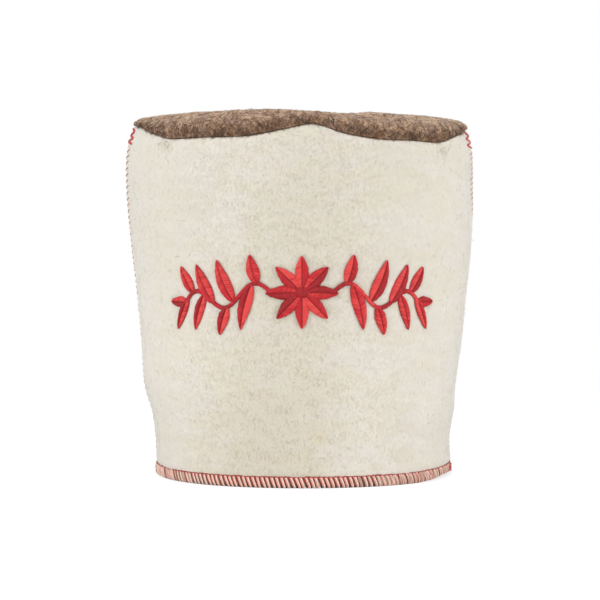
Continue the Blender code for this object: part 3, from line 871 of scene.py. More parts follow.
def pulled_in(side, share, height, seam):
    """How far thread pulls the felt in: at the sides, under the crown, along the hem and by the satin."""
    top = edge_height(side, share) - height
    over = height - HEM_REACH
    pull = SIDE_PULL[0] * hill(seam, SIDE_PULL[1]) + TOP_PULL[0] * hill(top, TOP_PULL[1])
    pull += (0.4 + 0.6 * hill(seam, SEAM_CLOSE)) * MM / (1 + np.exp(over / (0.4 * MM)))
    pull += HEM_PULL[0] * hill(over - 0.5 * MM, HEM_PULL[1])
    pull -= HEM_SWELL[0] * hill(over - 4.5 * MM, HEM_SWELL[1])
    if side == FRONT:
        pull += SATIN_PULL * satin_pull(share, height)
    return pull


def felt_panel(name, side, step, lump_height):
    """One felt panel: a fine skin that turns in at its cut edges, and a coarser lining, bridged together."""
    width = girth(PANEL_LEVEL)[0][-1] / 2
    across, across_inset = cut_edge_steps(width, step)
    up, up_inset = cut_edge_steps(PANEL_RISE, step)
    share, height = panel_places(side, up / PANEL_RISE, across / width)
    seam = np.minimum(across, width - across)[None, :] + np.zeros(share.shape)
    inset = np.maximum(across_inset[None, :], up_inset[:, None])
    points = wall(side, share, height, inset + pulled_in(side, share, height, seam), clear=SEAM_GAP / 2)
    outward = grid_outward(points) * -side
    ripple = ripples(points, 11.7 + side)
    swell, fine = lumps(points, PANEL_SWELLS, 3.1 + side), lumps(points, PANEL_GRAIN, 23.9 + side)
    out = lump_height * (swell + 0.55 * ripple + 0.25 * fine)
    out = (out - creased(side, share, height)) * (1 - inset / (FELT / 2)) ** 2
    points = points + outward * out[..., None]
    SKINS[name] = (points, outward, np.zeros(share.shape))

    bm = bmesh.new()
    laid_out(bm, points, bm.verts.layers.float.new("ripple"), ripple)
    arcs = np.linspace(LINING_EDGE / width, 1 - LINING_EDGE / width, LINING_ACROSS + 1)
    rises = np.linspace(LINING_EDGE / PANEL_RISE, 1 - LINING_EDGE / PANEL_RISE, LINING_UP + 1)
    share, height = panel_places(side, rises, arcs)
    laid_out(bm, wall(side, share, height, FELT, clear=SEAM_GAP / 2))
    bmesh.ops.bridge_loops(bm, edges=[e for e in bm.edges if e.is_boundary])
    return felt_object(name, bm)


def crown_skin_rows(around):
    """Rows of the crown's skin from its middle to its rounded seam, and how high each point is over it."""
    seam = crown_seam(around)
    rows = [dome(around, share, 0.0) for share in np.linspace(0.0, TOP_SHARE, TOP_ROWS)]
    turns = np.linspace(0.0, math.pi / 2, RIM_ROWS)
    rows += [dome(around, 1.0, inset) for inset in RIM_WIDTH * (1 - np.sin(turns))]
    skin = np.stack(rows)
    rise = skin[..., 2] - seam[:, 2]
    skin[..., 2] += SEAM_GAP + CUT_ROUND * (1 - np.clip(rise / (skin[0, 0, 2] - seam[:, 2]), 0.0, 1.0))
    corner = np.stack([seam] * CORNER_ROWS)
    turns = np.linspace(0.0, math.pi / 2, CORNER_ROWS + 1)[1:, None]
    corner[..., 2] += SEAM_GAP + CUT_ROUND * (1 - np.sin(turns))
    skin, rise = np.concatenate([skin, corner]), np.concatenate([rise, np.zeros(corner.shape[:2])])
    deep = CREVICE * np.minimum(rise[CREVICE_ROW] / (10 * MM), 1.0) ** 2 * hill(rise, CREVICE_RISE)
    deep[-CORNER_ROWS:] += CUT_ROUND * (1 - np.cos(turns))
    inward = unit((CROWN_CENTRE - skin) * np.array((1.0, 1.0, 0.0)))
    return skin + inward * deep[..., None], rise


def crown_inner_rows(around):
    """Rows of the edge that is turned down inside the wall, then of the underside back to the middle."""
    side, share = panel_place(around)
    height = edge_height(side, share)
    outer = FELT + SEAM_GAP
    inner = outer + FELT
    bevel, rise = 0.8 * MM, 0.6 * MM
    turned = ((outer, -SEAM_GAP), (outer, ALLOWANCE / 2), (outer, ALLOWANCE - rise),
              (outer + bevel, ALLOWANCE), (inner - bevel, ALLOWANCE), (inner, ALLOWANCE - rise),
              (inner, ALLOWANCE / 2))
    rows = [wall(side, share, height, inset) - np.array((0.0, 0.0, drop)) for inset, drop in turned]
    rows += [dome(around, 1.0, inset, FELT) for inset in (inner, *UNDER_INSETS)]
    rows += [dome(around, share_in, 0.0, FELT) for share_in in UNDER_SHARES]
    return np.stack(rows)


def crown_felt(name, columns, lump_height):
    """The crown: a sheet laid as rings from its middle over the rim and back under, then welded round."""
    around = np.linspace(0.0, 4.0, columns + 1)
    skin, rise = crown_skin_rows(around)
    outward = -grid_outward(skin)
    outward[0] = (0.0, 0.0, 1.0)
    outward[:, 0] = outward[:, -1] = unit(outward[:, 0] + outward[:, -1])
    swell, lump = lumps(skin, CROWN_SWELLS, 41.3), lumps(skin, CROWN_LUMPS, 5.9)
    out = lump_height * (2.2 * swell + 1.5 * lump + 0.6 * lumps(skin, CROWN_TUFTS, 17.1))
    fade = np.ones(len(skin))
    fade[-CORNER_ROWS:] = np.linspace(0.8, 0.0, CORNER_ROWS)
    skin = skin + outward * (out * fade[:, None])[..., None]
    # Painted shade over the seam, where the rim faces down, less where the rim is thin; painted light on the
    # parts that face up, which only the loose fibres take.
    full = np.clip(rise[CREVICE_ROW] / (12 * MM), 0.25, 1.0)
    shade = hill(rise, SHADE_RISE * full) - 0.65 * np.clip(outward[..., 2] - 0.45, 0.0, 0.4) / 0.4
    SKINS[name] = (skin[:-3], outward[:-3], shade[:-3])
    points = np.concatenate([skin, crown_inner_rows(around)])
    # The turned-down edge and the underside get the full painted shade.
    shade = np.concatenate([shade, np.ones((len(points) - len(skin), columns + 1))])
    bm = bmesh.new()
    laid_out(bm, points, bm.verts.layers.float.new("deep"), shade)
    bmesh.ops.remove_doubles(bm, verts=bm.verts, dist=0.002 * MM)
    return felt_object(name, bm)


# The hem.

# A bar's way from its top outside, down round the edge and up inside: insets from the skin, and heights.
BAR_ROUTE = MM * np.array([
    (0.35, 7.6), (-0.30, 7.0), (-0.62, 5.6), (-0.66, 3.6), (-0.58, 1.9), (-0.20, 0.80), (0.75, 0.46),
    (2.25, 0.46), (3.20, 0.80), (3.58, 1.9), (3.66, 3.6), (3.55, 5.6), (3.10, 7.2),
])
BAR_LEAN = [0.0, 0.10, 0.32, 0.62, 0.84, 0.96, 1.0, 1.0, 1.04, 1.12, 1.24, 1.36, 1.45]
BAR_HUB = 2.2 * MM  # the height in the felt that the bars turn round
BAR_STRAY = 0.16 * MM  # how far a bar, and a link of the chain, lies off its even place
BAR_ENDS = 0.55  # how wide a bar's strands are at its ends
BAR_LIFT = 0.80 * MM  # the most that a strand stands up
ODD_BARS, FAIR_BARS = 0.14, 0.6  # shares of the zones' bars in an odd colour, and in the plain one
AGAIN_SWELL, AGAIN_WIDTH = 1.16, 0.62 * MM  # of the bars wound over the first ones
AGAIN_TINTS, AGAIN_ODDS = (4.0, 3.0, 5.0, 1.0, 2.0), (0.32, 0.18, 0.14, 0.20, 0.16)
CHAIN_TINT = 6.0
CHAIN_PROUD = MM * np.array([-0.75, -0.05, 0.18, 0.18, -0.05, -0.75])  # how far a link stands off the wall
# From and to a place round the hat, and how the thread looks there.
HEM_ZONES = [(0.00, 0.30, 2), (0.30, 0.55, 1), (1.22, 1.40, 1), (1.40, 2.10, 2), (3.90, 4.00, 2)]
# A bar's strands: how far beside its middle, width, swell, tint in each zone, and width in the last two.
Strand = namedtuple("Strand", "label beside width swell tints fuller")
STRANDS = rows_of(Strand, [
    ("pale", 0.50, 1.10, 1.00, (0.0, 5.0, 4.0), (1.0, 0.75)),
    ("salmon", -0.38, 0.92, 0.97, (1.0, 3.0, 3.0), (1.1, 1.3)),
    ("maroon", -1.62, 1.25, 0.80, (2.0, 2.0, 3.0), (0.9, 1.35)),
], plain=("label", "swell", "tints", "fuller"))


def seam_distance(places):
    """Lengths along the hem from places round the hat to the nearer side seam."""
    lengths, around = girth(HEM_LEVEL)
    at = np.interp(np.mod(places, 4.0), around, lengths)
    ends = np.interp((0.0, 2.0, 4.0), around, lengths)
    return np.min([np.abs(at - end) for end in ends], axis=0)


def hem_route(start, lean, shift, swell):
    """Paths round the hem's edge from lengths along it: each leans to the right on its way down."""
    inset, height = BAR_ROUTE.T
    places = hem_places(start[:, None] + shift + lean[:, None] * np.array(BAR_LEAN))
    height = np.broadcast_to(height, places.shape)
    middle = FELT / 2
    close = hill(seam_distance(places), SEAM_CLOSE)
    inset = middle + (inset - middle) * swell * (1 - 0.26 * close)
    paths = round_wall(places, height, inset)
    deeper = round_wall(places, height, inset + 0.1 * MM)
    hub = round_wall(places, np.full(places.shape, BAR_HUB), np.full(places.shape, middle))
    facing = unit(paths - deeper) * np.where(inset > middle, -1.0, 1.0)[..., None]
    return paths, np.where((height > BAR_HUB)[..., None], facing, unit(paths - hub))


def hem_stitches(name):
    """The overlock: bars of a pale and a salmon strand, maroon thread between them and along their tops.
    By the side seams, where the winding starts and ends, more bars are wound over the first ones."""
    rng = np.random.default_rng(11)
    total = girth(HEM_LEVEL)[0][-1]
    count = round(total / HEM_PITCH)
    pitch = total / count
    start = np.arange(count) * pitch + rng.normal(0.0, BAR_STRAY, count)
    lean = HEM_LEAN * (1 + rng.normal(0.0, 0.10, count))
    meshes = []
    zone = hem_zone(start)
    for part, shift, width, swell, (tint, close, dull), fuller in STRANDS:
        paths, outward = hem_route(start, lean, shift, swell)
        widths = np.full(paths.shape[:2], width) * (1 + rng.normal(0.0, 0.06, (count, 1)))
        widths[:, (0, -1)] *= BAR_ENDS
        lift = np.minimum(widths, BAR_LIFT)
        odd = rng.random(count) < ODD_BARS
        fair = np.where(rng.random(count) < FAIR_BARS, tint, close)
        tints = np.choose(zone, (tint, np.where(odd, 3.0, fair), np.where(odd, 2.0, dull)))
        widths = widths * np.choose(zone, (1.0, *fuller))[:, None]
        meshes.append(threads(f"{name}_{part}", paths, outward, widths, lift, 6, tint=tints))
    again = np.repeat(start[zone == 2], 2)
    again = again + rng.uniform(-0.5, 0.5, len(again)) * pitch
    paths, outward = hem_route(again, HEM_LEAN * rng.uniform(-0.2, 1.6, len(again)), 0.0, AGAIN_SWELL)
    widths = np.full(paths.shape[:2], AGAIN_WIDTH) * rng.uniform(0.7, 1.3, (len(again), 1))
    shades = rng.choice(AGAIN_TINTS, len(again), p=AGAIN_ODDS)
    meshes.append(threads(f"{name}_again", paths, outward, widths, None, 6, tint=shades))
    meshes.append(hem_chain(f"{name}_chain", start, pitch, rng))
    return joined(name, meshes)


def hem_zone(start):
    """0 where the bars are plain, 1 where they are close and pale, 2 where they are dull: see HEM_ZONES."""
    places = hem_places(start)
    zone = np.zeros(len(start), dtype=int)
    for low, high, kind in HEM_ZONES:
        zone[(places >= low) & (places < high)] = kind
    return zone


def hem_chain(name, start, pitch, rng):
    """The line of needle thread along the tops of the bars, one sagging link from each bar to the next."""
    steps = np.linspace(0.0, 1.0, len(CHAIN_PROUD))
    run = start[:, None] + (steps * (pitch + 0.7 * MM) - 0.5 * MM)
    lengths, around = girth(CHAIN_LEVEL)
    share = girth(HEM_LEVEL)[0][-1] / lengths[-1]
    places = np.interp(np.mod(run / share, lengths[-1]), lengths, around)
    height = CHAIN_HEIGHT - CHAIN_SAG * np.sin(math.pi * steps) + rng.normal(0.0, BAR_STRAY, (len(start), 1))
    paths = round_wall(places, height, -np.broadcast_to(CHAIN_PROUD, places.shape))
    tints = np.full(len(start), CHAIN_TINT)
    return threads(name, paths, out_of_wall(places, height), CHAIN_WIDTH, CHAIN_LIFT, 5, tint=tints)


def joined(name, objects):
    """One piece of several, in the order given."""
    with bpy.context.temp_override(active_object=objects[0], selected_editable_objects=objects):
        bpy.ops.object.join()
    objects[0].name = objects[0].data.name = name
    return objects[0]


# The side seams.

LEG_DIVE = np.array([0.7, 0.1, 0.0, 0.0, 0.0, 0.1, 0.7])  # how far a leg's thread sinks, in its own widths
LEG_WIDTHS = np.array([0.6, 1, 1, 1, 1, 1, 0.6])


def zigzag(name, seam, low, high, pitch, reach, width, sunk, tints, rng, shifts=SEAM_SHIFTS):
    """Legs of thread that cross a side seam to and fro on their way up, moved to the front by the shifts."""
    count = int((high - low) / pitch)
    steps = np.linspace(-1.0, 1.0, len(LEG_DIVE))
    heights = low + (np.arange(count)[:, None] + (steps + 1) / 2) * pitch
    rows = [(row.height, row.left if seam == 0.0 else -row.right) for row in shifts]
    shift = np.interp(heights.mean(axis=1), *zip(*rows))
    places = np.empty(heights.shape)
    for k in range(count):
        to = 1 if k % 2 else -1
        across = to * steps * reach * (1 + rng.normal(0.0, 0.08))
        places[k] = seam_round(seam, heights[k].mean(), shift[k] + across)
    heights += rng.normal(0.0, 0.12 * MM, (count, 1))
    paths = round_wall(places, heights, sunk + LEG_DIVE * width)
    widths = np.full(paths.shape[:2], width) * LEG_WIDTHS
    outward = out_of_wall(places, heights)
    return threads(name, paths, outward, widths, widths * 0.85, 6, tint=np.resize(tints, count))


def side_stitches(name):
    """The thread of both side seams: a thin zigzag, thick stitches at its top, and a knot by the hem."""
    rng = np.random.default_rng(5)
    pieces = []
    for row in SEAM_THREADS:
        top = float(edge_height(FRONT, row.seam - 1.0)) + 0.2 * MM
        tack, label = top - TACK_HEIGHT, f"{name}_{row.label}"
        pieces += [
            zigzag(label, row.seam, SEAM_FOOT, tack, row.pitch, row.reach, row.width, SEAM_SUNK, row.tints,
                   rng),
            zigzag(f"{label}_tack", row.seam, tack, top, TACK_PITCH, TACK_REACH, row.tack_width, TACK_SUNK,
                   TACK_TINTS, rng),
            zigzag(f"{label}_knot", row.seam, KNOT_FOOT, KNOT_TOP, KNOT_PITCH, KNOT_REACH, KNOT_THREAD,
                   -row.knot_proud, row.knot_tints, rng, KNOT_SHIFTS),
        ]
    return joined(name, pieces)


# The embroidery.


def spray_span():
    return level("right", SPRAY_HEIGHT) - level("left", SPRAY_HEIGHT)


def on_front(along, up, proud):
    """Points of the front and directions out of it, from lengths along the felt and up from the arch."""
    height = SPRAY_HEIGHT + up - SPRAY_DROP * (along / SPRAY_HALF) ** 2
    share = along * math.sin(CORNER_TURN) * 2 / spray_span() / CORNER_TURN
    return wall(FRONT, share, height, -proud), out_of_wall(share + 1.0, height)


def off_front(share, height):
    """Lengths along the felt and up from the arch, for places on the front."""
    along = share * CORNER_TURN * spray_span() / 2 / math.sin(CORNER_TURN)
    return along, height - SPRAY_HEIGHT + SPRAY_DROP * (along / SPRAY_HALF) ** 2


Rib = namedtuple("Rib", "place sideways half length")  # a strip's middle line, flat, with its half widths


def mirrored_rib(place, forward, half, length, mirror):
    """A rib, turned over to the left where mirror is -1."""
    flip = np.array((mirror, 1.0))
    return Rib(place * flip, np.stack([-forward[:, 1], forward[:, 0]], axis=-1) * flip, half, length)


def vine_place(along):
    up = VINE_SWING * np.sin(2 * math.pi * (along - VINE_START) / VINE_WAVE)
    return np.stack([along, up], axis=-1)


def blade_rib(blade, foot, mirror):
    """The middle line of a leaf or petal, which turns by its bend from foot to tip."""
    t = np.linspace(0.0, 1.0, LEAF_SAMPLES)
    heading = np.radians(blade.heading + blade.bend * (t - 0.5 / LEAF_STEPS))
    forward = np.stack([np.cos(heading), np.sin(heading)], axis=-1)
    walked = np.concatenate([np.zeros((1, 2)), np.cumsum((forward[1:] + forward[:-1]) / 2, axis=0)])
    place = foot + walked * blade.length / (LEAF_SAMPLES - 1)
    full = np.sin(math.pi * np.clip(t, 1e-4, 1 - 1e-4) ** LEAF_BELLY) ** LEAF_FULLNESS
    half = np.maximum(blade.width * full, LEAF_TIP) / 2
    return mirrored_rib(place, forward, half, blade.length, mirror)


def vine_rib(mirror):
    place = vine_place(np.linspace(VINE_START, VINE_END, VINE_SAMPLES))
    length = np.linalg.norm(np.diff(place, axis=0), axis=1).sum()
    half = np.full(VINE_SAMPLES, VINE_WIDTH / 2)
    return mirrored_rib(place, unit(np.gradient(place, axis=0)), half, length, mirror)


def spray_ribs():
    """(leaf and petal ribs, vine ribs) of the whole spray."""
    blades = []
    for k in range(PETALS):
        turn = 2 * math.pi / PETALS * k
        foot = np.array((math.cos(turn), math.sin(turn))) * PETAL.along
        blades.append(blade_rib(PETAL._replace(heading=math.degrees(turn)), foot, 1))
    for mirror in (-1, 1):
        blades += [blade_rib(leaf, vine_place(np.array(leaf.along)), mirror) for leaf in LEAVES]
    return blades, [vine_rib(-1), vine_rib(1)]


def satin_pull(share, height):
    """1 under and beside the satin stitches, which draw the felt in, falling to 0 a little way off."""
    along, up = off_front(share, height)
    off = np.hypot(along, up) - HEART_RADIUS
    blades, vines = spray_ribs()
    for rib in blades + vines:
        for place, half in zip(rib.place[::5], rib.half[::5]):
            off = np.minimum(off, np.hypot(along - place[0], up - place[1]) - half)
    return np.exp(-(np.maximum(off, 0.0) / SATIN_REACH) ** 2)


def along_rib(rib, t):
    """Place, sideways direction and half width at shares of the way along a rib."""
    steps = np.linspace(0.0, 1.0, len(rib.half))
    place = np.stack([np.interp(t, steps, rib.place[:, k]) for k in (0, 1)], axis=-1)
    side = unit(np.stack([np.interp(t, steps, rib.sideways[:, k]) for k in (0, 1)], axis=-1))
    return place, side, np.interp(t, steps, rib.half)


def leaf_stitches(rib, rng):
    """Flat stitches of a leaf, from its edges to its midrib's groove: (starts, ends, half widths)."""
    count = int(rib.length / STITCH_PITCH)
    t = (np.arange(count) + 0.5) / count
    rows = []
    for hand in (-1.0, 1.0):
        ragged = rng.normal(0.0, 0.13 * MM, count)
        mid, side, half = along_rib(rib, t)
        slant = np.clip(0.55 * half / rib.length, 0.0, 1.0)
        rim, rim_side, rim_half = along_rib(rib, np.clip(t - slant, 0.0, 1.0))
        reach = np.maximum(rim_half + ragged, 0.15 * MM)
        rows.append((rim + rim_side * (hand * reach)[:, None], mid + side * hand * 0.12 * MM, rim_half))
    return [np.concatenate(column) for column in zip(*rows)]


def column_stitches(rib, rng):
    """Flat stitches that cross a narrow strip at a slant."""
    count = int(rib.length / STITCH_PITCH)
    t = (np.arange(count) + 0.5) / count
    slant = 0.35 * rib.half[0] / rib.length
    low, low_side, half = along_rib(rib, np.clip(t - slant, 0.0, 1.0))
    high, high_side, _ = along_rib(rib, np.clip(t + slant, 0.0, 1.0))
    out = (half + rng.normal(0.0, 0.1 * MM, count))[:, None]
    return low - low_side * out, high + high_side * out, half


def heart_stitches():
    at = np.arange(-HEART_RADIUS + 0.2 * MM, HEART_RADIUS - 0.1 * MM, STITCH_PITCH)
    half = np.sqrt(HEART_RADIUS**2 - at**2)
    return np.stack([at, -half], axis=-1), np.stack([at, half], axis=-1), half


SHINE_TURN = math.radians(20.0)  # stitches that run this way over the felt get the most painted sheen, those across it the most painted shade
STITCH_STATIONS = (0.0, 0.1, 0.32, 0.62, 0.9, 1.0)
SPLIT_RISE = [-0.40, 0.42, 0.86, 0.98, 0.66, 0.20]  # how high a stitch stands at each, ending in a midrib
DOMED_RISE = [-0.40, 0.50, 0.96, 0.96, 0.50, -0.40]


def satin(name, starts, ends, half, rise, lift, base, rng):
    """Raised threads over the felt from flat starts to flat ends; rise is how high each station stands."""
    flat = starts[:, None] + (ends - starts)[:, None] * np.array(STITCH_STATIONS)[None, :, None]
    scale = np.clip(0.45 + half / (3.4 * MM), 0.5, 1.0)[:, None]
    proud = base + np.array(rise)[None, :] * lift * scale
    points, outward = on_front(flat[..., 0], flat[..., 1], proud)
    widths = np.full(proud.shape, STITCH_WIDTH) * np.array([0.6] + [1.0] * (len(rise) - 2) + [0.6])
    # Each stitch is painted lighter or darker by which way it runs, a painted sheen and shade, with some random
    # spread.
    across = unit(ends - starts)
    painted_sheen = np.abs(across @ np.array((math.cos(SHINE_TURN), math.sin(SHINE_TURN)))) ** 2
    tints = np.clip(0.15 + 1.7 * painted_sheen + rng.normal(0.0, 0.22, len(starts)), 0.0, 2.0)
    return threads(name, points, outward, widths, widths * 0.8, 5, tint=tints)


def satin_stitches(name):
    """All the satin: leaves and petals in two slanted halves, the vines and the heart straight across."""
    rng = np.random.default_rng(23)
    blades, vines = spray_ribs()
    leaves = [np.concatenate(column) for column in zip(*(leaf_stitches(rib, rng) for rib in blades))]
    stems = [np.concatenate(column) for column in zip(*(column_stitches(rib, rng) for rib in vines))]
    return joined(name, [
        satin(f"{name}_leaves", *leaves, SPLIT_RISE, STITCH_LIFT, 0.0, rng),
        satin(f"{name}_stems", *stems, DOMED_RISE, STITCH_LIFT * 0.9, 0.12 * MM, rng),
        satin(f"{name}_heart", *heart_stitches(), DOMED_RISE, STITCH_LIFT * 1.25, 0.15 * MM, rng),
    ])


def stitch_padding(name):
    """The underlay that the satin lies over: one flat crowned strip under each leaf, petal and vine."""
    blades, vines = spray_ribs()
    stations = np.linspace(0.02, 0.98, 22)
    paths, outward, widths = [], [], []
    for rib in blades + vines:
        place, _, half = along_rib(rib, stations)
        point, out = on_front(place[:, 0], place[:, 1], 0.02 * MM)
        paths.append(point)
        outward.append(out)
        widths.append(np.maximum(half * 1.75, 0.3 * MM))
    widths = np.stack(widths)
    lift = np.minimum(1.15 * MM, widths * 0.6)
    return threads(name, np.stack(paths), np.stack(outward), widths, lift, 10)


# The loose fibres.

FIBRE_FOOT = 12.0 * MM  # none start under this height, where the hem's thread lies
# Loose wool: the felt that it lies on, how long it is, how far it stands off, its thickness, the seed of its
# draws, its links, and where along it it is rooted, from its start (0) to its end (1).
Fibres = namedtuple("Fibres", "name skin shortest longest stand thickness seed links root")
FIBRES = {row.name: row for row in rows_of(Fibres, [
    ("front_fibres", "front_felt", 1.2, 3.8, 0.14, 0.16, 31, 2, 0.0),
    ("back_fibres", "back_felt", 1.2, 3.8, 0.14, 0.16, 37, 2, 0.0),
    ("crown_fibres", "crown_felt", 1.8, 5.2, 0.6, 0.34, 41, 2, 0.0),
    ("crown_curls", "crown_felt", 3.5, 7.5, 0.25, 0.42, 47, 4, 0.5),
    ("crown_lint", "front_felt", 1.0, 2.6, 0.2, 0.13, 43, 2, 0.0),
    ("front_fringe", "front_felt", 1.2, 2.6, 0.5, 0.22, 53, 2, 0.5),
    ("back_fringe", "back_felt", 1.2, 2.6, 0.5, 0.22, 59, 2, 0.5),
], plain=("name", "skin", "seed", "links", "root"))}
LINT_COUNT, FRINGE_COUNT = 260, 1000

LINT = [  # X, height, spread and share of the crown's dark wool that has caught on the front
    (-0.0890, 0.2260, 0.0050, 0.40),
    (0.0955, 0.2215, 0.0050, 0.22),
    (-0.0700, 0.2215, 0.0120, 0.10),
    (0.0300, 0.2100, 0.0500, 0.15),
]


def lint_share(points):
    """How much of the crown's wool lies on each place of the front."""
    share = np.zeros(points.shape[:-1])
    for x, height, spread, part in LINT:
        off = np.hypot(points[..., 0] - x, points[..., 2] - height)
        share += part * hill(off, spread) / spread**2
    return share


FRINGE_FADE = math.radians(12.0)  # how far from the side seams the crown's wool begins to hang over the wall


def edge_share(side):
    """A share that keeps the crown's wool to the upper edge of the wall on one side, where it hangs over."""
    def share(points):
        across = np.clip((points[..., 0] - CROWN_CENTRE[0]) / CROWN_HALF, -1.0, 1.0)
        turn = np.arcsin(across * math.sin(CORNER_TURN))
        near = hill(edge_height(side, turn / CORNER_TURN) - points[..., 2] - 0.2 * MM, 0.7 * MM)
        return near * np.clip((CORNER_TURN - np.abs(turn)) / FRINGE_FADE - 0.4, 0.0, 1.0) + 1e-9
    return share


def rim_share(points):
    """More wool stands loose on the crown's rim than on its top, and none at its corners."""
    corner = np.clip((1 - np.abs(points[..., 0] - CROWN_CENTRE[0]) / CROWN_HALF) / 0.05, 0.0, 1.0)
    return corner * (1.0 + 1.8 * np.clip((247 * MM - points[..., 2]) / (6 * MM), 0.0, 1.0)) + 1e-9


def loose_fibres(lot, count, shades, share=None):
    """Fine curved slivers that start in the felt and lie or stand on it, spread over it by the share."""
    rng = np.random.default_rng(lot.seed)
    points, outward, shade = SKINS[lot.skin]
    edges_u = points[:-1, 1:] - points[:-1, :-1]
    edges_v = points[1:, :-1] - points[:-1, :-1]
    area = np.linalg.norm(np.cross(edges_u, edges_v), axis=-1).ravel()
    area = area * (points[:-1, :-1, 2].ravel() > FIBRE_FOOT)
    if share is not None:
        area = area * share(points[:-1, :-1]).ravel()
    cell = rng.choice(len(area), size=count, p=area / area.sum())
    row, column = np.divmod(cell, points.shape[1] - 1)
    u, v = rng.random((2, count))
    base = points[row, column] + edges_u[row, column] * u[:, None] + edges_v[row, column] * v[:, None]
    normal = unit(outward[row, column])
    across = unit(edges_u[row, column] + np.array((1e-9, 0.0, 0.0)))
    upward = np.cross(normal, across)
    heading = rng.random(count) * 2 * math.pi
    bend = rng.normal(0.0, 1.8, count) / lot.links
    reach = lot.shortest + (lot.longest - lot.shortest) * rng.random(count) ** 1.6
    rise = lot.stand * rng.random(count) ** 2.2
    stations = []
    first = across * np.cos(heading)[:, None] + upward * np.sin(heading)[:, None]
    place = base - normal * 0.08 * MM - first * (reach * lot.root)[:, None]
    for k in range(lot.links + 1):
        stations.append(place)
        turn = heading + bend * k
        ahead = across * np.cos(turn)[:, None] + upward * np.sin(turn)[:, None]
        lift = (0.16 * MM if k == 0 else 0.0) + rise
        place = place + ahead * (reach / lot.links)[:, None] + normal * (lift / lot.links)[:, None]
    paths = np.stack(stations, axis=1)
    outs = np.repeat(normal[:, None], lot.links + 1, axis=1)
    # Fibres take darker tints under the skin's painted shade and lighter ones under its painted light.
    light = rng.random(count) ** 0.8 * (1 - 0.5 * np.clip(shade[row, column], 0.0, 1.0))
    light = light - np.clip(shade[row, column], -1.0, 0.0) * (1 - light)
    tints = np.minimum((light * shades).astype(int), shades - 1)
    return threads(lot.name, paths, outs, lot.thickness, None, 3, pointed=True, tint=tints)


# Operators, one for each piece or group of like pieces.


def wool():
    return bpy.context.scene.felt_hat_wool


def thread():
    return bpy.context.scene.felt_hat_thread


STAINS = [  # place, radius, strength and colour of the front's faint stains
    ((0.013, -0.093, 0.033), 7 * MM, 0.55, (1.0, 0.95, 0.72)),
    ((-0.010, -0.096, 0.057), 5 * MM, 0.35, (1.0, 0.90, 0.86)),
    ((-0.052, -0.082, 0.150), 9 * MM, 0.30, (0.96, 0.96, 0.84)),
    ((-0.0885, -0.067, 0.2265), 8 * MM, 0.75, (0.90, 0.87, 0.80)),
    ((0.0955, -0.061, 0.2215), 7 * MM, 0.45, (0.90, 0.87, 0.80)),
]


# Colours by tint: of the hem's thread after the pale, salmon and maroon ones, the seams', and the loose wool.
HEM_SHADES = [(0.60, 0.39, 0.31), (0.85, 0.66, 0.57), (0.82, 0.65, 0.54), (0.38, 0.055, 0.048)]
SEAM_SHADES = [(0.86, 0.69, 0.58), (0.62, 0.060, 0.075), (0.40, 0.17, 0.15), (0.31, 0.16, 0.11),
               (0.84, 0.66, 0.60), (0.47, 0.05, 0.05)]
BROWNS = [(0.088, 0.044, 0.025), (0.230, 0.140, 0.087), (0.40, 0.275, 0.190), (0.58, 0.435, 0.325),
          (0.84, 0.700, 0.570)]
CAUGHT = [(0.20, 0.14, 0.09), (0.32, 0.25, 0.17), (0.42, 0.34, 0.25)]
CREAM_GAINS = (0.92, 0.96, 1, 1, 1, 1.05, 1.1, 1.2, 1.3)
# Satin tints for painted shade and painted sheen, on either side of the thread's own red.
SATIN_PAINTED_SHADE, SATIN_PAINTED_SHEEN = (0.40, 0.004, 0.010), (0.82, 0.085, 0.078)
HEM_TWIST, SEAM_TWIST, SATIN_TWIST, WOOL_TWIST = 0.9 * MM, 0.8 * MM, 0.7 * MM, 1.5 * MM


def cream_finish():
    made = bpy.data.materials.get("cream_wool_felt")
    if made is None:
        base = wool().cream
        lighter = tuple(channel * gain for channel, gain in zip(base, (1.120, 1.130, 1.170)))
        darker = tuple(channel * gain for channel, gain in zip(base, (0.850, 0.812, 0.715)))
        tones = lighter, base, darker
        # The wall's felt gets painted shade in a belt up its middle, and painted light and shade on its
        # ripples.
        made = felt_finish("cream_wool_felt", tones, CREAM_DRIFT, (0.56, 0.52, 0.42), 0.48, 0.6, STAINS,
                           teased=1.20, smooth=0.40, patchy=0.22, patch=(11 * MM, 11 * MM, 4.6 * MM),
                           ripple_painted_shading=0.14, worn=True, haired=0.64)
    return made


def brown_finish():
    made = bpy.data.materials.get("brown_wool_felt")
    if made is None:
        tones = (0.58, 0.412, 0.298), wool().brown, (0.085, 0.040, 0.021)
        # Deep multiplies in the painted shade over the crown's seam and under it.
        speck, deep = (0.03, 0.014, 0.006), (0.72, 0.67, 0.63)
        made = felt_finish("brown_wool_felt", tones, CROWN_DRIFT, speck, 1.4, 0.08, deep=deep,
                           gaps=(0.33, 0.72))
    return made


class FELTHAT_OT_walls(bpy.types.Operator):
    """Make the front and back of the wall, with relief, creases and cut edges"""

    bl_idname = "felt_hat.walls"
    bl_label = "Felt walls"

    def execute(self, context):
        step, height = wool().mesh_step, wool().lump_height
        front = felt_panel("front_felt", FRONT, step, height)
        dressed(front, cream_finish(), "cream_felt", "front_panel")
        back = felt_panel("back_felt", BACK, step * BACK_COARSER, height)
        dressed(back, cream_finish(), "cream_felt", "back_panel")
        return {"FINISHED"}


class FELTHAT_OT_crown(bpy.types.Operator):
    """Make the crown, with relief and its turned-down edge"""

    bl_idname = "felt_hat.crown"
    bl_label = "Felt crown"

    def execute(self, context):
        crown = crown_felt("crown_felt", CROWN_COLUMNS, wool().lump_height)
        dressed(crown, brown_finish(), "brown_felt", "crown")
        return {"FINISHED"}


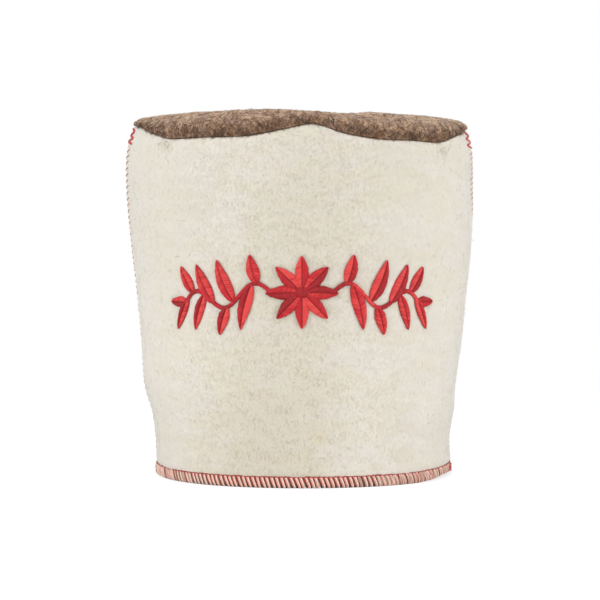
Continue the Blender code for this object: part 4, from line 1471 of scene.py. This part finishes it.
class FELTHAT_OT_hem(bpy.types.Operator):
    """Wind the thread over the hem, bar by bar"""

    bl_idname = "felt_hat.hem"
    bl_label = "Hem thread"

    def execute(self, context):
        colours = [thread().pale, thread().salmon, thread().maroon, *HEM_SHADES]
        finish = thread_finish("hem_threads", colours, 0.6, HEM_TWIST, shaded=True)
        dressed(hem_stitches("hem_stitches"), finish, "hem_thread", "hem_thread")
        return {"FINISHED"}


class FELTHAT_OT_seams(bpy.types.Operator):
    """Sew the side seams: a zigzag, and thick stitches at both ends"""

    bl_idname = "felt_hat.seams"
    bl_label = "Side seams"

    def execute(self, context):
        finish = thread_finish("seam_threads", SEAM_SHADES, 0.55, SEAM_TWIST)
        dressed(side_stitches("side_seam_stitches"), finish, "hem_thread")
        return {"FINISHED"}


class FELTHAT_OT_spray(bpy.types.Operator):
    """Embroider the spray of leaves on the front, over its underlay"""

    bl_idname = "felt_hat.spray"
    bl_label = "Embroidered spray"

    def execute(self, context):
        red = tuple(thread().satin)
        reds = [SATIN_PAINTED_SHADE, red, SATIN_PAINTED_SHEEN]
        satin_look = thread_finish("satin_thread", reds, 0.45, SATIN_TWIST, sheen=0.0)
        dressed(satin_stitches("satin_stitches"), satin_look, "red_thread", "embroidery")
        under_look = thread_finish("underlay_thread", [rgba(red, 0.55)], 0.6, SATIN_TWIST)
        dressed(stitch_padding("stitch_padding"), under_look, "red_thread")
        return {"FINISHED"}


class FELTHAT_OT_fibres(bpy.types.Operator):
    """Scatter loose fibres over the felt"""

    bl_idname = "felt_hat.fibres"
    bl_label = "Loose fibres"

    def execute(self, context):
        settings = wool()
        cream = tuple(settings.cream)
        creams = [rgba(cream, gain) for gain in CREAM_GAINS]
        wall_look = thread_finish("loose_cream_wool", creams, 0.9, WOOL_TWIST, sheen=0.2)
        crown_look = thread_finish("loose_brown_wool", BROWNS, 0.9, WOOL_TWIST, sheen=0.05, drift=CROWN_DRIFT)
        for name in ("front_fibres", "back_fibres"):
            made = loose_fibres(FIBRES[name], getattr(settings, name), len(creams))
            dressed(made, wall_look, "cream_felt")
        for name in ("crown_fibres", "crown_curls"):
            made = loose_fibres(FIBRES[name], getattr(settings, name), len(BROWNS), rim_share)
            dressed(made, crown_look, "brown_felt")
        lint = loose_fibres(FIBRES["crown_lint"], LINT_COUNT, len(CAUGHT), lint_share)
        dressed(lint, thread_finish("caught_brown_wool", CAUGHT, 0.9, WOOL_TWIST), "brown_felt")
        fringe = [loose_fibres(FIBRES[name], FRINGE_COUNT, len(BROWNS), edge_share(side))
                  for name, side in (("front_fringe", FRONT), ("back_fringe", BACK))]
        dressed(joined("seam_fringe", fringe), crown_look, "brown_felt")
        return {"FINISHED"}


# Felt piece, the width, length and area of its flat cut, what it stands or lies on, and what is sewn to it.
Cut = namedtuple("Cut", "piece flat area rests_on sewn")


class FELTHAT_OT_cuts(bpy.types.Operator):
    """Does nothing: the felt pieces' cut sizes are not given"""

    bl_idname = "felt_hat.cuts"
    bl_label = "Cut sizes"

    def execute(self, context):
        return {"FINISHED"}


# Each light's name, place, target, size and power.
LIGHTS = [
    ("overhead_light", (0.0, -0.3, 1.5), (0.0, 0.0, 0.1), (1.3, 1.0), 8.9),
    ("front_light", (-0.08, -1.5, 0.6), (0.0, 0.0, 0.10), (1.2, 0.8), 7.4),
    ("left_light", (-1.5, -0.55, 0.1), (0.0, 0.0, 0.05), (0.8, 0.8), 12.0),
    ("right_light", (1.5, -0.55, 0.1), (0.0, 0.0, 0.05), (0.8, 0.8), 12.5),
]


class FELTHAT_OT_stage(bpy.types.Operator):
    """Set up the pale floor, the soft lights and the camera"""

    bl_idname = "felt_hat.stage"
    bl_label = "Stage"

    def execute(self, context):
        scene = context.scene
        scene.view_settings.view_transform = "Standard"
        studio_world(scene)
        studio_floor()
        lights = [soft_light(*row) for row in LIGHTS]
        settings = scene.felt_hat_stage
        data = bpy.data.cameras.new("photo_camera")
        data.sensor_width = 36.0
        data.lens = settings.lens
        camera = in_scene("photo_camera", data)
        camera.location = (settings.camera_side, -settings.camera_distance, settings.camera_height)
        camera.rotation_euler = (math.pi / 2 - settings.camera_tilt, 0.0, 0.0)
        scene.camera = camera
        return {"FINISHED"}


def studio_world(scene):
    """A white backdrop for the camera, and softer light from all round for everything else."""
    world = bpy.data.worlds.new("studio")
    world.use_nodes = True
    tree = world.node_tree
    soft = tree.nodes["Background"]
    soft.inputs["Color"].default_value = (1.0, 0.99, 0.98, 1.0)
    height = added(tree, "ShaderNodeSeparateXYZ", {0: added(tree, "ShaderNodeTexCoord", {}, "Generated")}, 2)
    inputs = {"Value": height, "From Min": -0.3, "From Max": 0.3, "To Min": 0.2, "To Max": 0.5}
    tree.links.new(added(tree, "ShaderNodeMapRange", inputs), soft.inputs["Strength"])
    seen = added(tree, "ShaderNodeBackground", {"Color": WHITE, "Strength": 1.0})
    direct = added(tree, "ShaderNodeLightPath", {}, "Is Camera Ray")
    mix = added(tree, "ShaderNodeMixShader", {0: direct, 1: soft.outputs[0], 2: seen})
    tree.links.new(mix, tree.nodes["World Output"].inputs["Surface"])
    scene.world = world


def studio_floor():
    """A pale round floor that fades into the backdrop, with a faint mottle as of paper."""
    bm = bmesh.new()
    bmesh.ops.create_circle(bm, cap_ends=True, radius=0.95, segments=96)
    floor = felt_object("studio_floor", bm)
    made = Finish("pale_floor", 0.8, specular=0.2)
    where = made.places()
    mottle = made.cloud(made.scaled(where, (3 * MM,) * 3), detail=3.0)
    seen = made.mixed(mottle, (0.31, 0.31, 0.31, 1.0), (0.34, 0.34, 0.34, 1.0))
    direct = made.add("ShaderNodeLightPath", {}, "Is Camera Ray")
    colour = made.mixed(direct, (0.87, 0.87, 0.87, 1.0), seen)
    away = made.add("ShaderNodeVectorMath", {0: where}, "Value", operation="LENGTH")
    solid = made.ranged(away, 0.30, 0.85, 1.0, 0.0)
    made.tree.links.new(solid, made.shader.inputs["Alpha"])
    made.shader.inputs["Emission Color"].default_value = WHITE
    made.tree.links.new(made.times(direct, 0.76), made.shader.inputs["Emission Strength"])
    floor.data.materials.append(made.paint(colour, made.bump(mottle, 0.05 * MM, 0.3)))


def soft_light(name, place, target, size, power):
    data = bpy.data.lights.new(name, "AREA")
    data.shape = "RECTANGLE"
    data.size, data.size_y = size
    data.energy = power
    light = in_scene(name, data)
    light.location = place
    light.rotation_euler = (Vector(target) - Vector(place)).to_track_quat("-Z", "Y").to_euler()
    return light


class FELTHAT_PT_panel(bpy.types.Panel):
    """The hat's settings, and a button for each group of pieces"""

    bl_label = "Felt Hat"
    bl_idname = "FELTHAT_PT_panel"
    bl_space_type = "VIEW_3D"
    bl_region_type = "UI"
    bl_category = "Felt Hat"

    def draw(self, context):
        for group in GROUPS:
            box = self.layout.box()
            settings = getattr(context.scene, group)
            for key in settings.bl_rna.properties.keys():
                if key not in ("rna_type", "name"):
                    box.prop(settings, key)
        for operator in OPERATORS:
            self.layout.operator(operator.bl_idname)


GROUPS = {"felt_hat_wool": FeltHatWool, "felt_hat_thread": FeltHatThread, "felt_hat_stage": FeltHatStage}
OPERATORS = (FELTHAT_OT_walls, FELTHAT_OT_crown, FELTHAT_OT_hem, FELTHAT_OT_seams, FELTHAT_OT_spray,
             FELTHAT_OT_fibres, FELTHAT_OT_cuts, FELTHAT_OT_stage)
CLASSES = (*GROUPS.values(), *OPERATORS, FELTHAT_PT_panel)


def register():
    for cls in CLASSES:
        bpy.utils.register_class(cls)
    for name, group in GROUPS.items():
        setattr(bpy.types.Scene, name, PointerProperty(type=group))


def unregister():
    for name in GROUPS:
        delattr(bpy.types.Scene, name)
    for cls in reversed(CLASSES):
        bpy.utils.unregister_class(cls)


def main():
    register()
    bpy.ops.felt_hat.walls()
    bpy.ops.felt_hat.crown()
    bpy.ops.felt_hat.hem()
    bpy.ops.felt_hat.seams()
    bpy.ops.felt_hat.spray()
    bpy.ops.felt_hat.fibres()
    bpy.ops.felt_hat.cuts()
    bpy.ops.felt_hat.stage()


if __name__ == "__main__":
    main()
